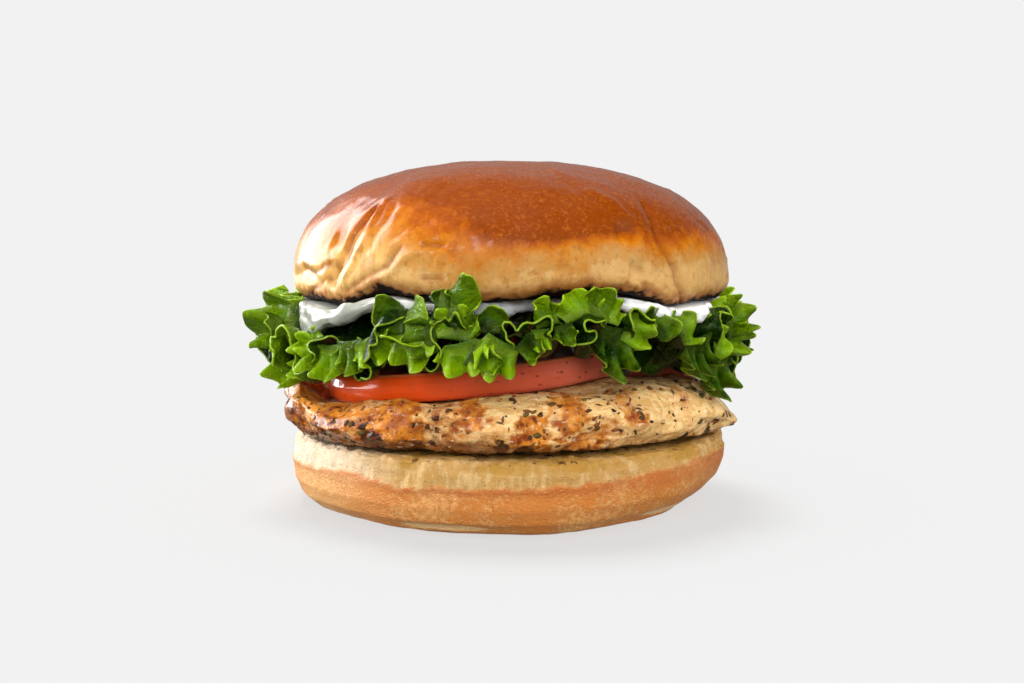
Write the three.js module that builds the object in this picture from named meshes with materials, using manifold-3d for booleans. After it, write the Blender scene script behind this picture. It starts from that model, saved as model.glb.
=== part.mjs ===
// A grilled chicken burger: a brioche bun cut into heel and crown, a seasoned chicken breast, two tomato
// slices, a ruff of frilly green lettuce in four leaves, and mayonnaise under the crown.
// Millimetres, +Z up. The origin is the middle of the heel's flat underside. Angles run round the burger from
// the front (-Y) towards the right (+X), in radians, unless a name says degrees.
import * as THREE from "three";
import { mergeVertices } from "three/addons/utils/BufferGeometryUtils.js";
import Module from "manifold-3d";

const wasm = await Module();
wasm.setup();

// Driving dimensions
const bunRadius = 55; // widest radius of heel and crown
const clearance = 0.3; // gap between pieces that rest on each other
const heelHeight = 18.2; // cut face of the heel
const crownBaseHeight = 53.3; // cut face of the crown on its axis
const crownTopHeight = 85.2; // top of the dome on its axis, before the tilt
const crownTilt = 0.028; // rise per millimetre towards the front, 1.6 degrees
const crownDroop = 2.5; // how far the cut face hangs lower at the left and right
const crownEquatorRise = 4.5; // widest level of the crown above its cut edge
const domeSquareness = 2.4; // exponent of the dome's superellipse, 2 is an ellipse
const domeShift = -1; // sideways lean of the dome's top
const sliceThickness = 7.2; // tomato slices
const leafThickness = 0.8;
const mayoThickness = 2.6;

const degrees = Math.PI / 180;
const smoothstep = THREE.MathUtils.smoothstep;
const lerp = THREE.MathUtils.lerp;
const bell = (distance, width) => Math.exp(-((distance / width) ** 2));

// The angle between two directions, from -180 to 180 degrees, from two angles in degrees.
const turnBetween = (a, b) => ((((a - b) % 360) + 540) % 360) - 180;

// A closed smooth curve through values that stand at equal steps round the circle, read at an angle.
function roundCurve(values, angle) {
  const steps = values.length;
  const place = (((angle / (2 * Math.PI)) * steps) % steps + steps) % steps;
  const i = Math.floor(place);
  const t = place - i;
  const [a, b, c, d] = [-1, 0, 1, 2].map((k) => values[(i + k + steps) % steps]);
  return b + 0.5 * t * (c - a + t * (2 * a - 5 * b + 4 * c - d + t * (3 * (b - c) + d - a)));
}

// The sum of soft bumps round the burger, each { turn, width, rise } with turn and width in degrees.
function waves(bumps, turn) {
  let sum = 0;
  for (const bump of bumps) sum += bump.rise * bell(turnBetween(turn, bump.turn), bump.width);
  return sum;
}

// Distance from a point to a line of points, in the plane.
function distanceToPath(x, y, path) {
  let nearest = Infinity;
  for (let i = 1; i < path.length; i++) {
    const [ax, ay] = path[i - 1];
    const [bx, by] = path[i];
    const length2 = (bx - ax) ** 2 + (by - ay) ** 2;
    const t = THREE.MathUtils.clamp(((x - ax) * (bx - ax) + (y - ay) * (by - ay)) / length2, 0, 1);
    nearest = Math.min(nearest, Math.hypot(x - ax - t * (bx - ax), y - ay - t * (by - ay)));
  }
  return nearest;
}

// A closed geometry as a manifold-3d solid, and back.
function solidOf(geometry) {
  const bare = new THREE.BufferGeometry();
  bare.setAttribute("position", geometry.getAttribute("position"));
  if (geometry.index) bare.setIndex(geometry.index);
  const merged = mergeVertices(bare, 1e-4);
  return new wasm.Manifold(
    new wasm.Mesh({
      numProp: 3,
      vertProperties: new Float32Array(merged.getAttribute("position").array),
      triVerts: new Uint32Array(merged.index.array),
    }),
  );
}

function geometryOf(solid) {
  const mesh = solid.getMesh();
  const geometry = new THREE.BufferGeometry();
  geometry.setAttribute("position", new THREE.BufferAttribute(new Float32Array(mesh.vertProperties), 3));
  geometry.setIndex(new THREE.BufferAttribute(new Uint32Array(mesh.triVerts), 1));
  return geometry;
}

// A body turned from rows that run from the axis below to the axis above. Each row has its share of the
// radius, and place(angle, row) moulds it into the real point.
function turned(rows, segments, place) {
  const outline = rows.map((row, i) => new THREE.Vector2(row.share, i));
  const geometry = new THREE.LatheGeometry(outline, segments);
  const position = geometry.getAttribute("position");
  for (let i = 0; i < position.count; i++) {
    const angle = Math.atan2(position.getX(i), position.getZ(i));
    position.setXYZ(i, ...place(angle, rows[Math.round(position.getY(i))]));
  }
  return geometry;
}

// Heel: flat underside, rounded crust, a soft waist and a cut face with a slightly ragged edge.
const heelRows = [
  { share: 0, z: 0 },
  { share: 0.5, z: 0 },
  { share: 0.86, z: 0 },
  { share: 0.915, z: 0.9 },
  { share: 0.965, z: 3.4 },
  { share: 0.992, z: 7 },
  { share: 1, z: 11.5 },
  { share: 0.992, z: 15.2 },
  { share: 0.98, z: 17.4 },
  { share: 0.955, z: heelHeight },
  { share: 0.6, z: heelHeight },
  { share: 0, z: heelHeight },
];

// The underside is drawn in on the right, where the crust was pinched in the tin.
const heelPinch = { turn: 66, width: 36, depth: 5.2, height: 7.5 };

function heelPoint(angle, row) {
  const side = smoothstep(row.share, 0.5, 0.95);
  const lump = 0.5 * Math.sin(2 * angle + 0.7) + 0.4 * Math.sin(5 * angle + 2) + 0.25 * Math.sin(9 * angle);
  const atPinch = bell(turnBetween(angle / degrees, heelPinch.turn), heelPinch.width);
  const pinch = heelPinch.depth * bell(row.z, heelPinch.height) * atPinch;
  const radius = row.share * bunRadius + side * (lump - pinch);
  return [radius * Math.sin(angle), -radius * Math.cos(angle), row.z];
}

// Crown: a domed half with a cut face that tilts up to the front and droops at the sides, and whose edge rises
// and falls in a few waves.
const rimWaves = [
  { turn: -48, width: 8, rise: -1.3 },
  { turn: -33, width: 9, rise: 1.7 },
  { turn: -12, width: 14, rise: -0.6 },
  { turn: 25, width: 13, rise: 1.6 },
  { turn: 47, width: 9, rise: -1.2 },
  { turn: 110, width: 15, rise: 0.9 },
  { turn: 175, width: 20, rise: 1.2 },
  { turn: 240, width: 16, rise: -0.8 },
];

function crownBase(x, y) {
  const turn = Math.atan2(x, -y) / degrees;
  const nearRim = smoothstep(Math.hypot(x, y), 38, 53);
  return crownBaseHeight - crownTilt * y - crownDroop * (x / bunRadius) ** 2 + nearRim * waves(rimWaves, turn);
}

// Creases in the crust as lines of [degrees from the front, height above the cut edge].
const crownCreases = [
  { path: [[51, 1], [47, 7], [46, 13], [45, 18], [42, 23], [35, 27]], width: 1.7, depth: 1.3 },
  { path: [[-56, 5], [-48, 8], [-44, 15], [-40, 22], [-35, 26]], width: 1.9, depth: 1.4 },
  { path: [[-78, 6], [-66, 7], [-56, 5], [-50, 1]], width: 1.5, depth: 1.2 },
  { path: [[128, 3], [133, 12], [128, 20]], width: 2, depth: 1.1 },
  { path: [[-150, 2], [-146, 10], [-152, 19]], width: 2, depth: 1.1 },
];

const domeRows = 9;
const crownRows = [
  { share: 0 },
  { share: 0.68 },
  { share: 0.82 },
  { share: 0.93 },
  { share: 0.962, lift: 0.7 },
  { share: 0.988, lift: 2.4 },
];
for (let i = 0; i <= domeRows; i++) {
  const turn = (i / domeRows) * 0.5 * Math.PI;
  crownRows.push({
    share: i === domeRows ? 0 : Math.cos(turn) ** (2 / domeSquareness),
    lift: crownEquatorRise,
    rise: Math.sin(turn) ** (2 / domeSquareness),
  });
}

function crownSwell(angle, height, radius) {
  const round = 0.55 * Math.sin(2 * angle + 1.1) + 0.35 * Math.sin(3 * angle + 2.6) + 0.3 * Math.sin(5 * angle + height * 0.08);
  let swell = round * smoothstep(radius, 0, 40);
  for (const { path, width, depth } of crownCreases) {
    const along = path.map(([turn, level]) => [turnBetween(turn, angle / degrees) * degrees * bunRadius, level]);
    swell -= depth * bell(distanceToPath(0, height, along), width) * smoothstep(radius, 15, 35);
  }
  return swell;
}

function crownPoint(angle, row) {
  const radius = row.share * bunRadius;
  let x = radius * Math.sin(angle);
  let y = -radius * Math.cos(angle);
  const base = crownBase(x, y);
  if (row.lift === undefined) return [x, y, base];
  const onRim = [bunRadius * Math.sin(angle), -bunRadius * Math.cos(angle)];
  const rim = crownBase(...onRim) + crownTilt * onRim[1]; // cut edge of this side, before the tilt
  const height = row.lift + (row.rise ?? 0) * (crownTopHeight - rim - row.lift);
  x += domeShift * (row.rise ?? 0) ** 3;
  const swell = crownSwell(angle, height, radius);
  const outward = new THREE.Vector3(x, y, 0.9 * Math.max(0, height - row.lift)).normalize();
  return [x + swell * outward.x, y + swell * outward.y, rim - crownTilt * y + height + swell * outward.z];
}

// Tomato slices: round discs with a softly bulging skin, tilted as they lie.
const slices = {
  front: { x: -8, y: -6.5, z: 33, radius: 37.5, acrossTilt: 0.1, frontTilt: 0.045, lobes: 5 },
  back: { x: 22, y: 12, z: 35.6, radius: 29, acrossTilt: -0.02, frontTilt: 0.02, lobes: 6 },
};

// Mid-height of a slice's plane at a place in plan.
const slicePlane = (slice, x, y) => slice.z + slice.acrossTilt * (x - slice.x) - slice.frontTilt * (y - slice.y);

const sliceRows = [
  { share: 0, level: -0.5 },
  { share: 0.55, level: -0.5 },
  { share: 0.965, level: -0.5 },
  { share: 0.99, level: -0.36 },
  { share: 1, level: 0 },
  { share: 0.992, level: 0.36 },
  { share: 0.97, level: 0.5 },
  { share: 0.55, level: 0.5 },
  { share: 0, level: 0.5 },
];

function slicePoint(slice, angle, row, grow) {
  const wobble = 1 + 0.012 * Math.sin(slice.lobes * angle) + 0.008 * Math.sin(2 * angle + 1);
  const radius = row.share * (slice.radius * wobble + grow);
  const x = slice.x + radius * Math.sin(angle);
  const y = slice.y - radius * Math.cos(angle);
  return [x, y, slicePlane(slice, x, y) + row.level * (sliceThickness + 2 * grow)];
}

// Chicken breast: plan radius every 30 degrees from the front, and a top that dips under the tomato on the
// left, curls up at the left end and tapers to a tip on the right.
const breastRadii = [52, 53, 54.5, 55, 49, 45, 45, 47, 51, 56.5, 57.5, 54.5];
const breastTip = { turn: 74, reach: 2.2, width: 12 };

const breastRadius = (angle) =>
  roundCurve(breastRadii, angle) +
  breastTip.reach * bell(turnBetween(angle / degrees, breastTip.turn), breastTip.width) +
  0.7 * Math.sin(6 * angle + 1) + 0.5 * Math.sin(11 * angle + 2);

function breastTop(x, y) {
  const plump = 30.8 + 2.4 * bell(x - 24, 24) * bell(y + 20, 26) + 1.2 * bell(x + 5, 20) * bell(y + 42, 12);
  const dip = 4.6 * bell(x + 43, 13) * bell(y + 6, 34);
  const curl = 4.4 * smoothstep(-x, 45, 54) * bell(y + 8, 26);
  const taper = 7.5 * smoothstep(x, 44, 60);
  const backFall = 2.5 * smoothstep(y, 10, 45);
  const grain = 0.45 * Math.sin(0.42 * y + 0.1 * x) + 0.35 * Math.sin(0.21 * x - 0.16 * y + 1);
  return plump - dip + curl - taper - backFall + grain;
}

const breastRows = [
  { share: 0, level: 0 },
  { share: 0.5, level: 0 },
  { share: 0.84, level: 0 },
  { share: 0.93, level: 0.07 },
  { share: 0.978, level: 0.26 },
  { share: 1, level: 0.5 },
  { share: 0.985, level: 0.74 },
  { share: 0.945, level: 0.91 },
  { share: 0.88, level: 1 },
  { share: 0.76, level: 1 },
  { share: 0.6, level: 1 },
  { share: 0.35, level: 1 },
  { share: 0, level: 1 },
];

function breastPoint(angle, row) {
  const folds = 0.9 * Math.sin(9 * angle + 5 * row.level) + 0.6 * Math.sin(17 * angle - 6 * row.level);
  const side = smoothstep(row.share, 0.9, 1) * smoothstep(row.level, 0, 0.3);
  const radius = row.share * breastRadius(angle) + folds * side;
  const x = radius * Math.sin(angle);
  const y = -radius * Math.cos(angle);
  return [x, y, lerp(heelHeight + clearance, breastTop(x, y), row.level)];
}

// Pepper and herb flakes that stand on the breast, spread over its open sides and top by a seeded draw.
const flakeCount = 56;
const flakeSize = [0.9, 1.7];

function seededDraw(seed) {
  let state = seed;
  return () => {
    state = (state * 1103515245 + 12345) % 2147483648;
    return state / 2147483648;
  };
}

const underSlice = (x, y, margin) =>
  Object.values(slices).some((slice) => Math.hypot(x - slice.x, y - slice.y) < slice.radius + margin);

function flakes() {
  const draw = seededDraw(7);
  const made = [];
  while (made.length < flakeCount) {
    const angle = (draw() * 2 - 1) * Math.PI;
    const rowPlace = 4 + draw() * 5;
    const size = lerp(flakeSize[0], flakeSize[1], draw() ** 2);
    const turn = draw() * Math.PI;
    const low = Math.floor(rowPlace);
    const from = new THREE.Vector3(...breastPoint(angle, breastRows[low]));
    const to = new THREE.Vector3(...breastPoint(angle, breastRows[low + 1]));
    const spot = from.clone().lerp(to, rowPlace - low);
    if (underSlice(spot.x, spot.y, 2.5)) continue;
    const along = to.sub(from).normalize();
    const around = new THREE.Vector3(Math.cos(angle), Math.sin(angle), 0);
    const outward = new THREE.Vector3().crossVectors(around, along).normalize();
    const flake = new THREE.OctahedronGeometry(size).scale(1, 0.7, 0.45).rotateZ(turn);
    flake.applyMatrix4(new THREE.Matrix4().makeBasis(around, along, outward));
    made.push(flake.translate(spot.x, spot.y, spot.z));
  }
  return made;
}

// Mayonnaise: a layer against the crown's cut face, with a wavy edge and a drip at the left. A drip's rise is
// how much lower it hangs.
const mayoReach = [49.5, 50, 53, 53.4, 51, 50, 51, 52, 51, 53.4, 53.8, 53.2];
const mayoDrips = [
  { turn: -62, width: 11, rise: 6.5 },
  { turn: -40, width: 7, rise: 2 },
  { turn: 58, width: 8, rise: 1.8 },
  { turn: 150, width: 10, rise: 2 },
];

function mayoDrop(angle, share) {
  const ripple = 0.5 * Math.sin(5 * angle + 1) + 0.35 * Math.sin(11 * angle);
  return mayoThickness + (ripple + waves(mayoDrips, angle / degrees)) * smoothstep(share, 0.86, 0.97);
}

const mayoRows = [
  { share: 0, level: 1 },
  { share: 0.6, level: 1 },
  { share: 0.86, level: 1 },
  { share: 0.94, level: 1 },
  { share: 0.985, level: 0.8 },
  { share: 1, level: 0.45 },
  { share: 0.985, level: 0.12 },
  { share: 0.95, level: 0 },
  { share: 0.84, level: 0 },
  { share: 0.7, level: 0 },
  { share: 0, level: 0 },
];

function mayoPoint(angle, row) {
  const reach = roundCurve(mayoReach, angle) + 0.6 * Math.sin(8 * angle + 1);
  const radius = row.share * reach;
  const x = radius * Math.sin(angle);
  const y = -radius * Math.cos(angle);
  return [x, y, crownBase(x, y) - clearance - row.level * mayoDrop(angle, row.share)];
}

// Lettuce: each leaf is a blade that starts between tomato and mayonnaise and runs out into a ruffled margin.
// The ruffle swings between a floor, which clears what the leaf lies on, and a ceiling, which clears what
// lies on it; past the bun's edge both open up. The folds run askew, so there is no view through the burger.
const leaves = {
  front: { from: -42, to: 46, lobes: 5.8, phase: 1.9, reach: 59.5, flare: 2 },
  right: { from: 48, to: 122, lobes: 4.6, phase: 2.1, reach: 60, flare: 2.2 },
  back: { from: 124, to: 212, lobes: 5.6, phase: 4, reach: 59.5, flare: 2 },
  left: { from: 214, to: 316, lobes: 6.2, phase: 1.2, reach: 62.5, flare: 2.4 },
};
const leafInnerRadius = 20;
const leafColumns = 54;
const leafRows = [0, 0.35, 0.6, 0.8, 0.9, 1];
const leafSkew = 5; // radians a fold turns by between the root and the margin
const leafMargin = 1.1; // gap kept between the middle of a leaf and its floor or ceiling

// Heights of the open margin, past the bun's edge: base level and what is added round each turn in degrees.
const marginBottom = {
  level: 37,
  changes: [
    { turn: 38, width: 26, rise: 4 },
    { turn: 86, width: 22, rise: -9 },
    { turn: -80, width: 36, rise: -4.5 },
  ],
};
const marginTop = {
  level: 50.5,
  changes: [
    { turn: -9, width: 10, rise: 8 },
    { turn: 42, width: 18, rise: 5 },
    { turn: -45, width: 22, rise: -3.5 },
    { turn: -86, width: 30, rise: -2.5 },
    { turn: 180, width: 50, rise: 4 },
  ],
};

const marginHeight = (margin, turn) => margin.level + waves(margin.changes, turn);

function leafFloor(x, y, turn) {
  const onBreast = breastTop(x, y) + 0.7 + leafMargin;
  const clear = lerp(onBreast, marginHeight(marginBottom, turn), smoothstep(Math.hypot(x, y), 50, 59));
  let floor = clear;
  for (const slice of Object.values(slices)) {
    const over = 1 - smoothstep(Math.hypot(x - slice.x, y - slice.y), slice.radius + 3, slice.radius + 7.5);
    const top = slicePlane(slice, x, y) + 0.5 * sliceThickness + 0.4 + leafMargin;
    floor = Math.max(floor, lerp(clear, top, over));
  }
  return floor;
}

function leafCeiling(x, y, turn) {
  const radius = Math.hypot(x, y);
  const underMayo = crownBase(x, y) - clearance - mayoDrop(turn * degrees, radius / 49) - leafMargin;
  return lerp(underMayo, marginHeight(marginTop, turn), smoothstep(radius, 56.2, 59.5));
}

function leafPoint(leaf, u, v) {
  const sway = 0.8 * Math.sin(5.3 * u + leaf.phase) + 0.5 * Math.sin(11.7 * u + 2 * leaf.phase);
  const phase = 2 * Math.PI * leaf.lobes * u + leaf.phase + sway + leafSkew * (1 - v);
  const grown = smoothstep(v, 0.05, 0.7);
  const atMargin = smoothstep(v, 0.4, 1);
  const inside = smoothstep(u, 0, 0.07) * smoothstep(1 - u, 0, 0.07); // fades to 0 at the leaf's two ends
  const strength = 0.84 + 0.16 * Math.sin(7.9 * u + 3 * leaf.phase);
  const overhang = (1.3 * Math.sin(0.5 * phase + leaf.phase) - 1.6 * Math.sin(2 * phase)) * atMargin * inside;
  const wave = Math.sin(phase);
  const edge = leaf.reach + leaf.flare * Math.sin(phase + 0.8) + 1.1 * Math.sin(9.1 * u + leaf.phase);
  const radius = lerp(leafInnerRadius, lerp(50, edge, 0.35 + 0.65 * inside), v);
  const angle = lerp(leaf.from, leaf.to, u) * degrees + overhang / radius;
  const x = radius * Math.sin(angle);
  const y = -radius * Math.cos(angle);
  const turn = angle / degrees;
  const swing = grown * strength * wave * (1.25 - 0.25 * wave * wave);
  return new THREE.Vector3(x, y, lerp(leafFloor(x, y, turn), leafCeiling(x, y, turn), 0.5 + 0.5 * swing));
}

// A thin solid round a curved sheet: both faces use the same diagonals, and a rim joins them.
function sheetSolid(pointAt, columns, rows, thickness) {
  const step = 1e-3;
  const down = columns + 1;
  const sideSize = down * rows.length;
  const positions = [];
  for (const side of [0.5, -0.5]) {
    for (const v of rows) {
      for (let i = 0; i <= columns; i++) {
        const u = i / columns;
        const du = pointAt(Math.min(1, u + step), v).sub(pointAt(Math.max(0, u - step), v));
        const dv = pointAt(u, Math.min(1, v + step)).sub(pointAt(u, Math.max(0, v - step)));
        const normal = du.cross(dv).normalize();
        const point = pointAt(u, v).addScaledVector(normal, side * thickness);
        positions.push(point.x, point.y, point.z);
      }
    }
  }
  const index = [];
  const quad = (a, b, c, d) => index.push(a, b, c, a, c, d);
  for (let j = 0; j < rows.length - 1; j++) {
    for (let i = 0; i < columns; i++) {
      const a = j * down + i;
      quad(a, a + 1, a + 1 + down, a + down);
      const b = a + sideSize;
      index.push(b, b + 1 + down, b + 1, b, b + down, b + 1 + down);
    }
  }
  const rim = [];
  for (let i = 0; i < columns; i++) rim.push(i);
  for (let j = 0; j < rows.length - 1; j++) rim.push(j * down + columns);
  for (let i = columns; i > 0; i--) rim.push((rows.length - 1) * down + i);
  for (let j = rows.length - 1; j > 0; j--) rim.push(j * down);
  rim.forEach((a, i) => {
    const b = rim[(i + 1) % rim.length];
    quad(b, a, a + sideSize, b + sideSize);
  });
  const geometry = new THREE.BufferGeometry();
  geometry.setAttribute("position", new THREE.Float32BufferAttribute(positions, 3));
  geometry.setIndex(index);
  return geometry;
}

const sliceGeometry = (slice, grow) => turned(sliceRows, 40, (angle, row) => slicePoint(slice, angle, row, grow));

// The back slice is pushed up against the front one, which leaves a round bite in its side.
function backSliceGeometry() {
  const bite = { ...slices.front, acrossTilt: 0, frontTilt: 0, z: slices.back.z };
  const cutter = solidOf(sliceGeometry(bite, 3 * clearance).scale(1, 1, 3).translate(0, 0, -2 * slices.back.z));
  return geometryOf(solidOf(sliceGeometry(slices.back, 0)).subtract(cutter));
}

// The breast is cut back where the tomato slices lie on it, and its flakes are fused on.
function breastGeometry() {
  let breast = solidOf(turned(breastRows, 64, breastPoint));
  for (const slice of Object.values(slices)) breast = breast.subtract(solidOf(sliceGeometry(slice, clearance)));
  for (const flake of flakes()) breast = breast.add(solidOf(flake));
  return geometryOf(breast);
}

const bakedCrust = new THREE.MeshStandardMaterial({ color: 0xb8641f, roughness: 0.35, metalness: 0 });
const paleCrust = new THREE.MeshStandardMaterial({ color: 0xc98a45, roughness: 0.7, metalness: 0 });
const grilledMeat = new THREE.MeshStandardMaterial({ color: 0xd9a468, roughness: 0.4, metalness: 0 });
const tomatoSkin = new THREE.MeshStandardMaterial({ color: 0xb8301a, roughness: 0.25, metalness: 0 });
const leafGreen = new THREE.MeshStandardMaterial({ color: 0x4f8f1e, roughness: 0.4, metalness: 0 });
const cream = new THREE.MeshStandardMaterial({ color: 0xf0eee2, roughness: 0.3, metalness: 0 });

const burger = new THREE.Group();

function addPiece(name, geometry, material) {
  const mesh = new THREE.Mesh(geometry, material);
  mesh.name = name;
  burger.add(mesh);
}

addPiece("bun_heel", turned(heelRows, 48, heelPoint), paleCrust);
addPiece("chicken_breast", breastGeometry(), grilledMeat);
addPiece("tomato_slice_front", sliceGeometry(slices.front, 0), tomatoSkin);
addPiece("tomato_slice_back", backSliceGeometry(), tomatoSkin);
for (const [place, leaf] of Object.entries(leaves)) {
  const pointAt = (u, v) => leafPoint(leaf, u, v);
  addPiece(`lettuce_leaf_${place}`, sheetSolid(pointAt, leafColumns, leafRows, leafThickness), leafGreen);
}
addPiece("mayonnaise", turned(mayoRows, 64, mayoPoint), cream);
addPiece("bun_crown", turned(crownRows, 72, crownPoint), bakedCrust);

export default burger;
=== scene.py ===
# Chicken burger: glazed bun, seared breast, two tomato slices, frilly lettuce and mayonnaise,
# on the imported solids. Shapes are worked out in millimetres, and turns in degrees from the
# front (-Y) towards the right (+X).
import math
import random
import bpy
import numpy as np
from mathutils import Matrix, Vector


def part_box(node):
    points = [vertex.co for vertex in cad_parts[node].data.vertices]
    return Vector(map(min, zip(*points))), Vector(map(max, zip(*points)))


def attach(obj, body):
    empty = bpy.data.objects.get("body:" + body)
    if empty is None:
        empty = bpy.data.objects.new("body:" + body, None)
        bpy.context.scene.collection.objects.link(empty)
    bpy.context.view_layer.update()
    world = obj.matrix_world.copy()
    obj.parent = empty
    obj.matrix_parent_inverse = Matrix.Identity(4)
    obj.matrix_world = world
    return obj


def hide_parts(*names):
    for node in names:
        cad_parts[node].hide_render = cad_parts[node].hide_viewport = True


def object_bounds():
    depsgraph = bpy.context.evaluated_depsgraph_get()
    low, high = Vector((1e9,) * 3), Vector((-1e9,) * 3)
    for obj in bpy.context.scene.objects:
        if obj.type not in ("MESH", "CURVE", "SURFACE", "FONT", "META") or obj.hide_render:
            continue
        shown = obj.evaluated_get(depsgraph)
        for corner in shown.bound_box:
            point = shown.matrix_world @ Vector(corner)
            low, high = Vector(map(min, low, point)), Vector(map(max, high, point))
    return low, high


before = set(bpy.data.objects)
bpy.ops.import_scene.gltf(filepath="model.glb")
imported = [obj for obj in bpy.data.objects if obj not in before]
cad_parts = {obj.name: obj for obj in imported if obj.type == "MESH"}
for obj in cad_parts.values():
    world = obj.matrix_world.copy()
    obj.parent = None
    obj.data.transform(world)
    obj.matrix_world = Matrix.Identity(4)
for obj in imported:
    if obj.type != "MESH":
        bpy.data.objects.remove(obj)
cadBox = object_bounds()
mm = 0.001


# Small sums that the shapes share
def smoothStep(x, low, high):
    t = np.clip((x - low) / (high - low), 0, 1)
    return t * t * (3 - 2 * t)


def bell(distance, width):
    return np.exp(-((distance / width) ** 2))


def between(a, b, t):
    return a + (b - a) * t


def turnBetween(a, b):
    return (a - b + 180) % 360 - 180


def waves(bumps, turn):  # each bump is (turn, width, rise)
    return sum(rise * bell(turnBetween(turn, at), width) for at, width, rise in bumps)


def roundCurve(values, angle):  # smooth closed curve through values at equal steps round the circle
    count = len(values)
    place = np.mod(angle / (2 * math.pi) * count, count)
    i = np.floor(place).astype(int)
    t = place - i
    a, b, c, d = [np.array(values, float)[(i + k) % count] for k in (-1, 0, 1, 2)]
    return b + 0.5 * t * (c - a + t * (2 * a - 5 * b + 4 * c - d + t * (3 * (b - c) + d - a)))


def nearPath(turn, height, path):  # distance on the crust to a line of (turn, height) points
    radius = crown["radius"]
    nearest = np.full(len(turn), 1e9)
    for (turnA, lowA), (turnB, lowB) in zip(path, path[1:]):
        ax = np.radians(turnBetween(turnA, turn)) * radius
        bx = np.radians(turnBetween(turnB, turn)) * radius
        ay, by = lowA - height, lowB - height
        t = np.clip(-(ax * (bx - ax) + ay * (by - ay)) / ((bx - ax) ** 2 + (by - ay) ** 2 + 1e-9), 0, 1)
        nearest = np.minimum(nearest, np.hypot(ax + t * (bx - ax), ay + t * (by - ay)))
    return nearest


gradients = np.random.RandomState(3).normal(size=(256, 3))
gradients /= np.linalg.norm(gradients, axis=1)[:, None]


def oneNoise(place):  # gradient noise, about -1 to 1
    cell = np.floor(place).astype(np.int64)
    inside = place - cell
    ease = inside ** 3 * (inside * (inside * 6 - 15) + 10)
    total = np.zeros(len(place))
    for corner in ((0, 0, 0), (1, 0, 0), (0, 1, 0), (1, 1, 0), (0, 0, 1), (1, 0, 1), (0, 1, 1), (1, 1, 1)):
        at = cell + corner
        mixed = at[:, 0] * 73856093 ^ at[:, 1] * 19349663 ^ at[:, 2] * 83492791
        slope = gradients[(mixed ^ mixed >> 11) & 255]
        share = np.where(corner, ease, 1 - ease).prod(1)
        total += ((inside - corner) * slope).sum(1) * share
    return total * 1.6


def rough(points, size, seed, octaves, stretch=(1, 1, 1)):  # lumpy noise in octaves, about -1 to 1
    place = points / (size * np.array(stretch)) + np.array((7.3, 3.1, 5.7)) * seed
    return sum(oneNoise(place * 2.03 ** i) * 0.5 ** i for i in range(octaves))


def along1(values, seed):  # the same noise along one line
    return oneNoise(np.stack([values, np.full(len(values), 1.7 * seed), np.full(len(values), 0.5)], 1))


# Mesh helpers
def selectOnly(*pieces):  # the first one becomes the active one
    bpy.ops.object.select_all(action="DESELECT")
    for piece in pieces:
        piece.select_set(True)
    bpy.context.view_layer.objects.active = pieces[0]


def readPoints(piece, scale=1000):
    flat = np.empty(len(piece.data.vertices) * 3)
    piece.data.vertices.foreach_get("co", flat)
    return flat.reshape(-1, 3) * scale


def readNormals(piece):
    flat = np.empty(len(piece.data.vertices) * 3)
    piece.data.vertices.foreach_get("normal", flat)
    return flat.reshape(-1, 3)


def writePoints(piece, points):
    piece.data.vertices.foreach_set("co", (points * mm).ravel())
    piece.data.update()


def push(piece, amount):  # moves each point along its normal by so many millimetres
    writePoints(piece, readPoints(piece) + readNormals(piece) * amount[:, None])


def keepIn(piece, low, high):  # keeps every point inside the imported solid's box
    writePoints(piece, np.clip(readPoints(piece), np.array(low) * 1000, np.array(high) * 1000))


def paint(piece, name, amount):  # stores a number for each point, which the material reads
    layer = piece.data.attributes.new(name, "FLOAT", "POINT")
    layer.data.foreach_set("value", np.asarray(amount, np.float32))


def useModifier(piece, kind, **settings):
    modifier = piece.modifiers.new(kind.title(), kind)
    for key, value in settings.items():
        setattr(modifier, key, value)
    selectOnly(piece)
    bpy.ops.object.modifier_apply(modifier=modifier.name)


def flatGrid(columns, rows):  # a flat sheet to be moulded: each point's place on it, from -0.5 to 0.5
    bpy.ops.mesh.primitive_grid_add(x_subdivisions=columns, y_subdivisions=rows, size=1, location=(0, 0, 0))
    piece = bpy.context.object
    flat = readPoints(piece, 1)
    return piece, flat[:, 0], flat[:, 1]


def roundBlank(name, segments, rings):
    # A ball to be moulded: each point's angle, and its way from bottom to top
    piece, across, along = flatGrid(segments, rings)
    piece.name = name
    around, up = (across + 0.5) * 2 * math.pi, (along + 0.5) * math.pi
    ball = np.stack([np.sin(up) * np.sin(around), -np.sin(up) * np.cos(around), -np.cos(up)], 1)
    writePoints(piece, ball * 1000)
    bpy.ops.object.mode_set(mode="EDIT")
    bpy.ops.mesh.select_all(action="SELECT")
    bpy.ops.mesh.remove_doubles(threshold=0.00001)
    bpy.ops.object.mode_set(mode="OBJECT")
    points = readPoints(piece, 1)
    angle = np.arctan2(points[:, 0], -points[:, 1])
    along = 1 - np.arccos(np.clip(points[:, 2], -1, 1)) / math.pi
    return piece, angle, along


def readOutline(rows, along, reach, rise, crowd, soften):
    # rows run from the lower pole to the upper one; the first two columns are share of the radius and height
    rows = np.array(rows, float)
    steps = np.hypot(np.diff(rows[:, 0]) * reach, np.diff(rows[:, 1]) * rise) * np.array(crowd)
    place = np.concatenate([[0], np.cumsum(steps)]) / steps.sum()
    samples = 1200
    fine = np.linspace(0, 1, samples + 1)
    width = int(soften * samples) | 1
    read = []
    for column in rows.T:
        padded = np.pad(np.interp(fine, place, column), width // 2, mode="reflect", reflect_type="odd")
        curve = np.convolve(padded, np.ones(width) / width, mode="valid")
        read.append(np.interp(along, fine, curve))
    read[0] = np.where((along > 0.9999) | (along < 0.0001), 0, read[0])  # the poles close to a point
    return read


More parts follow.
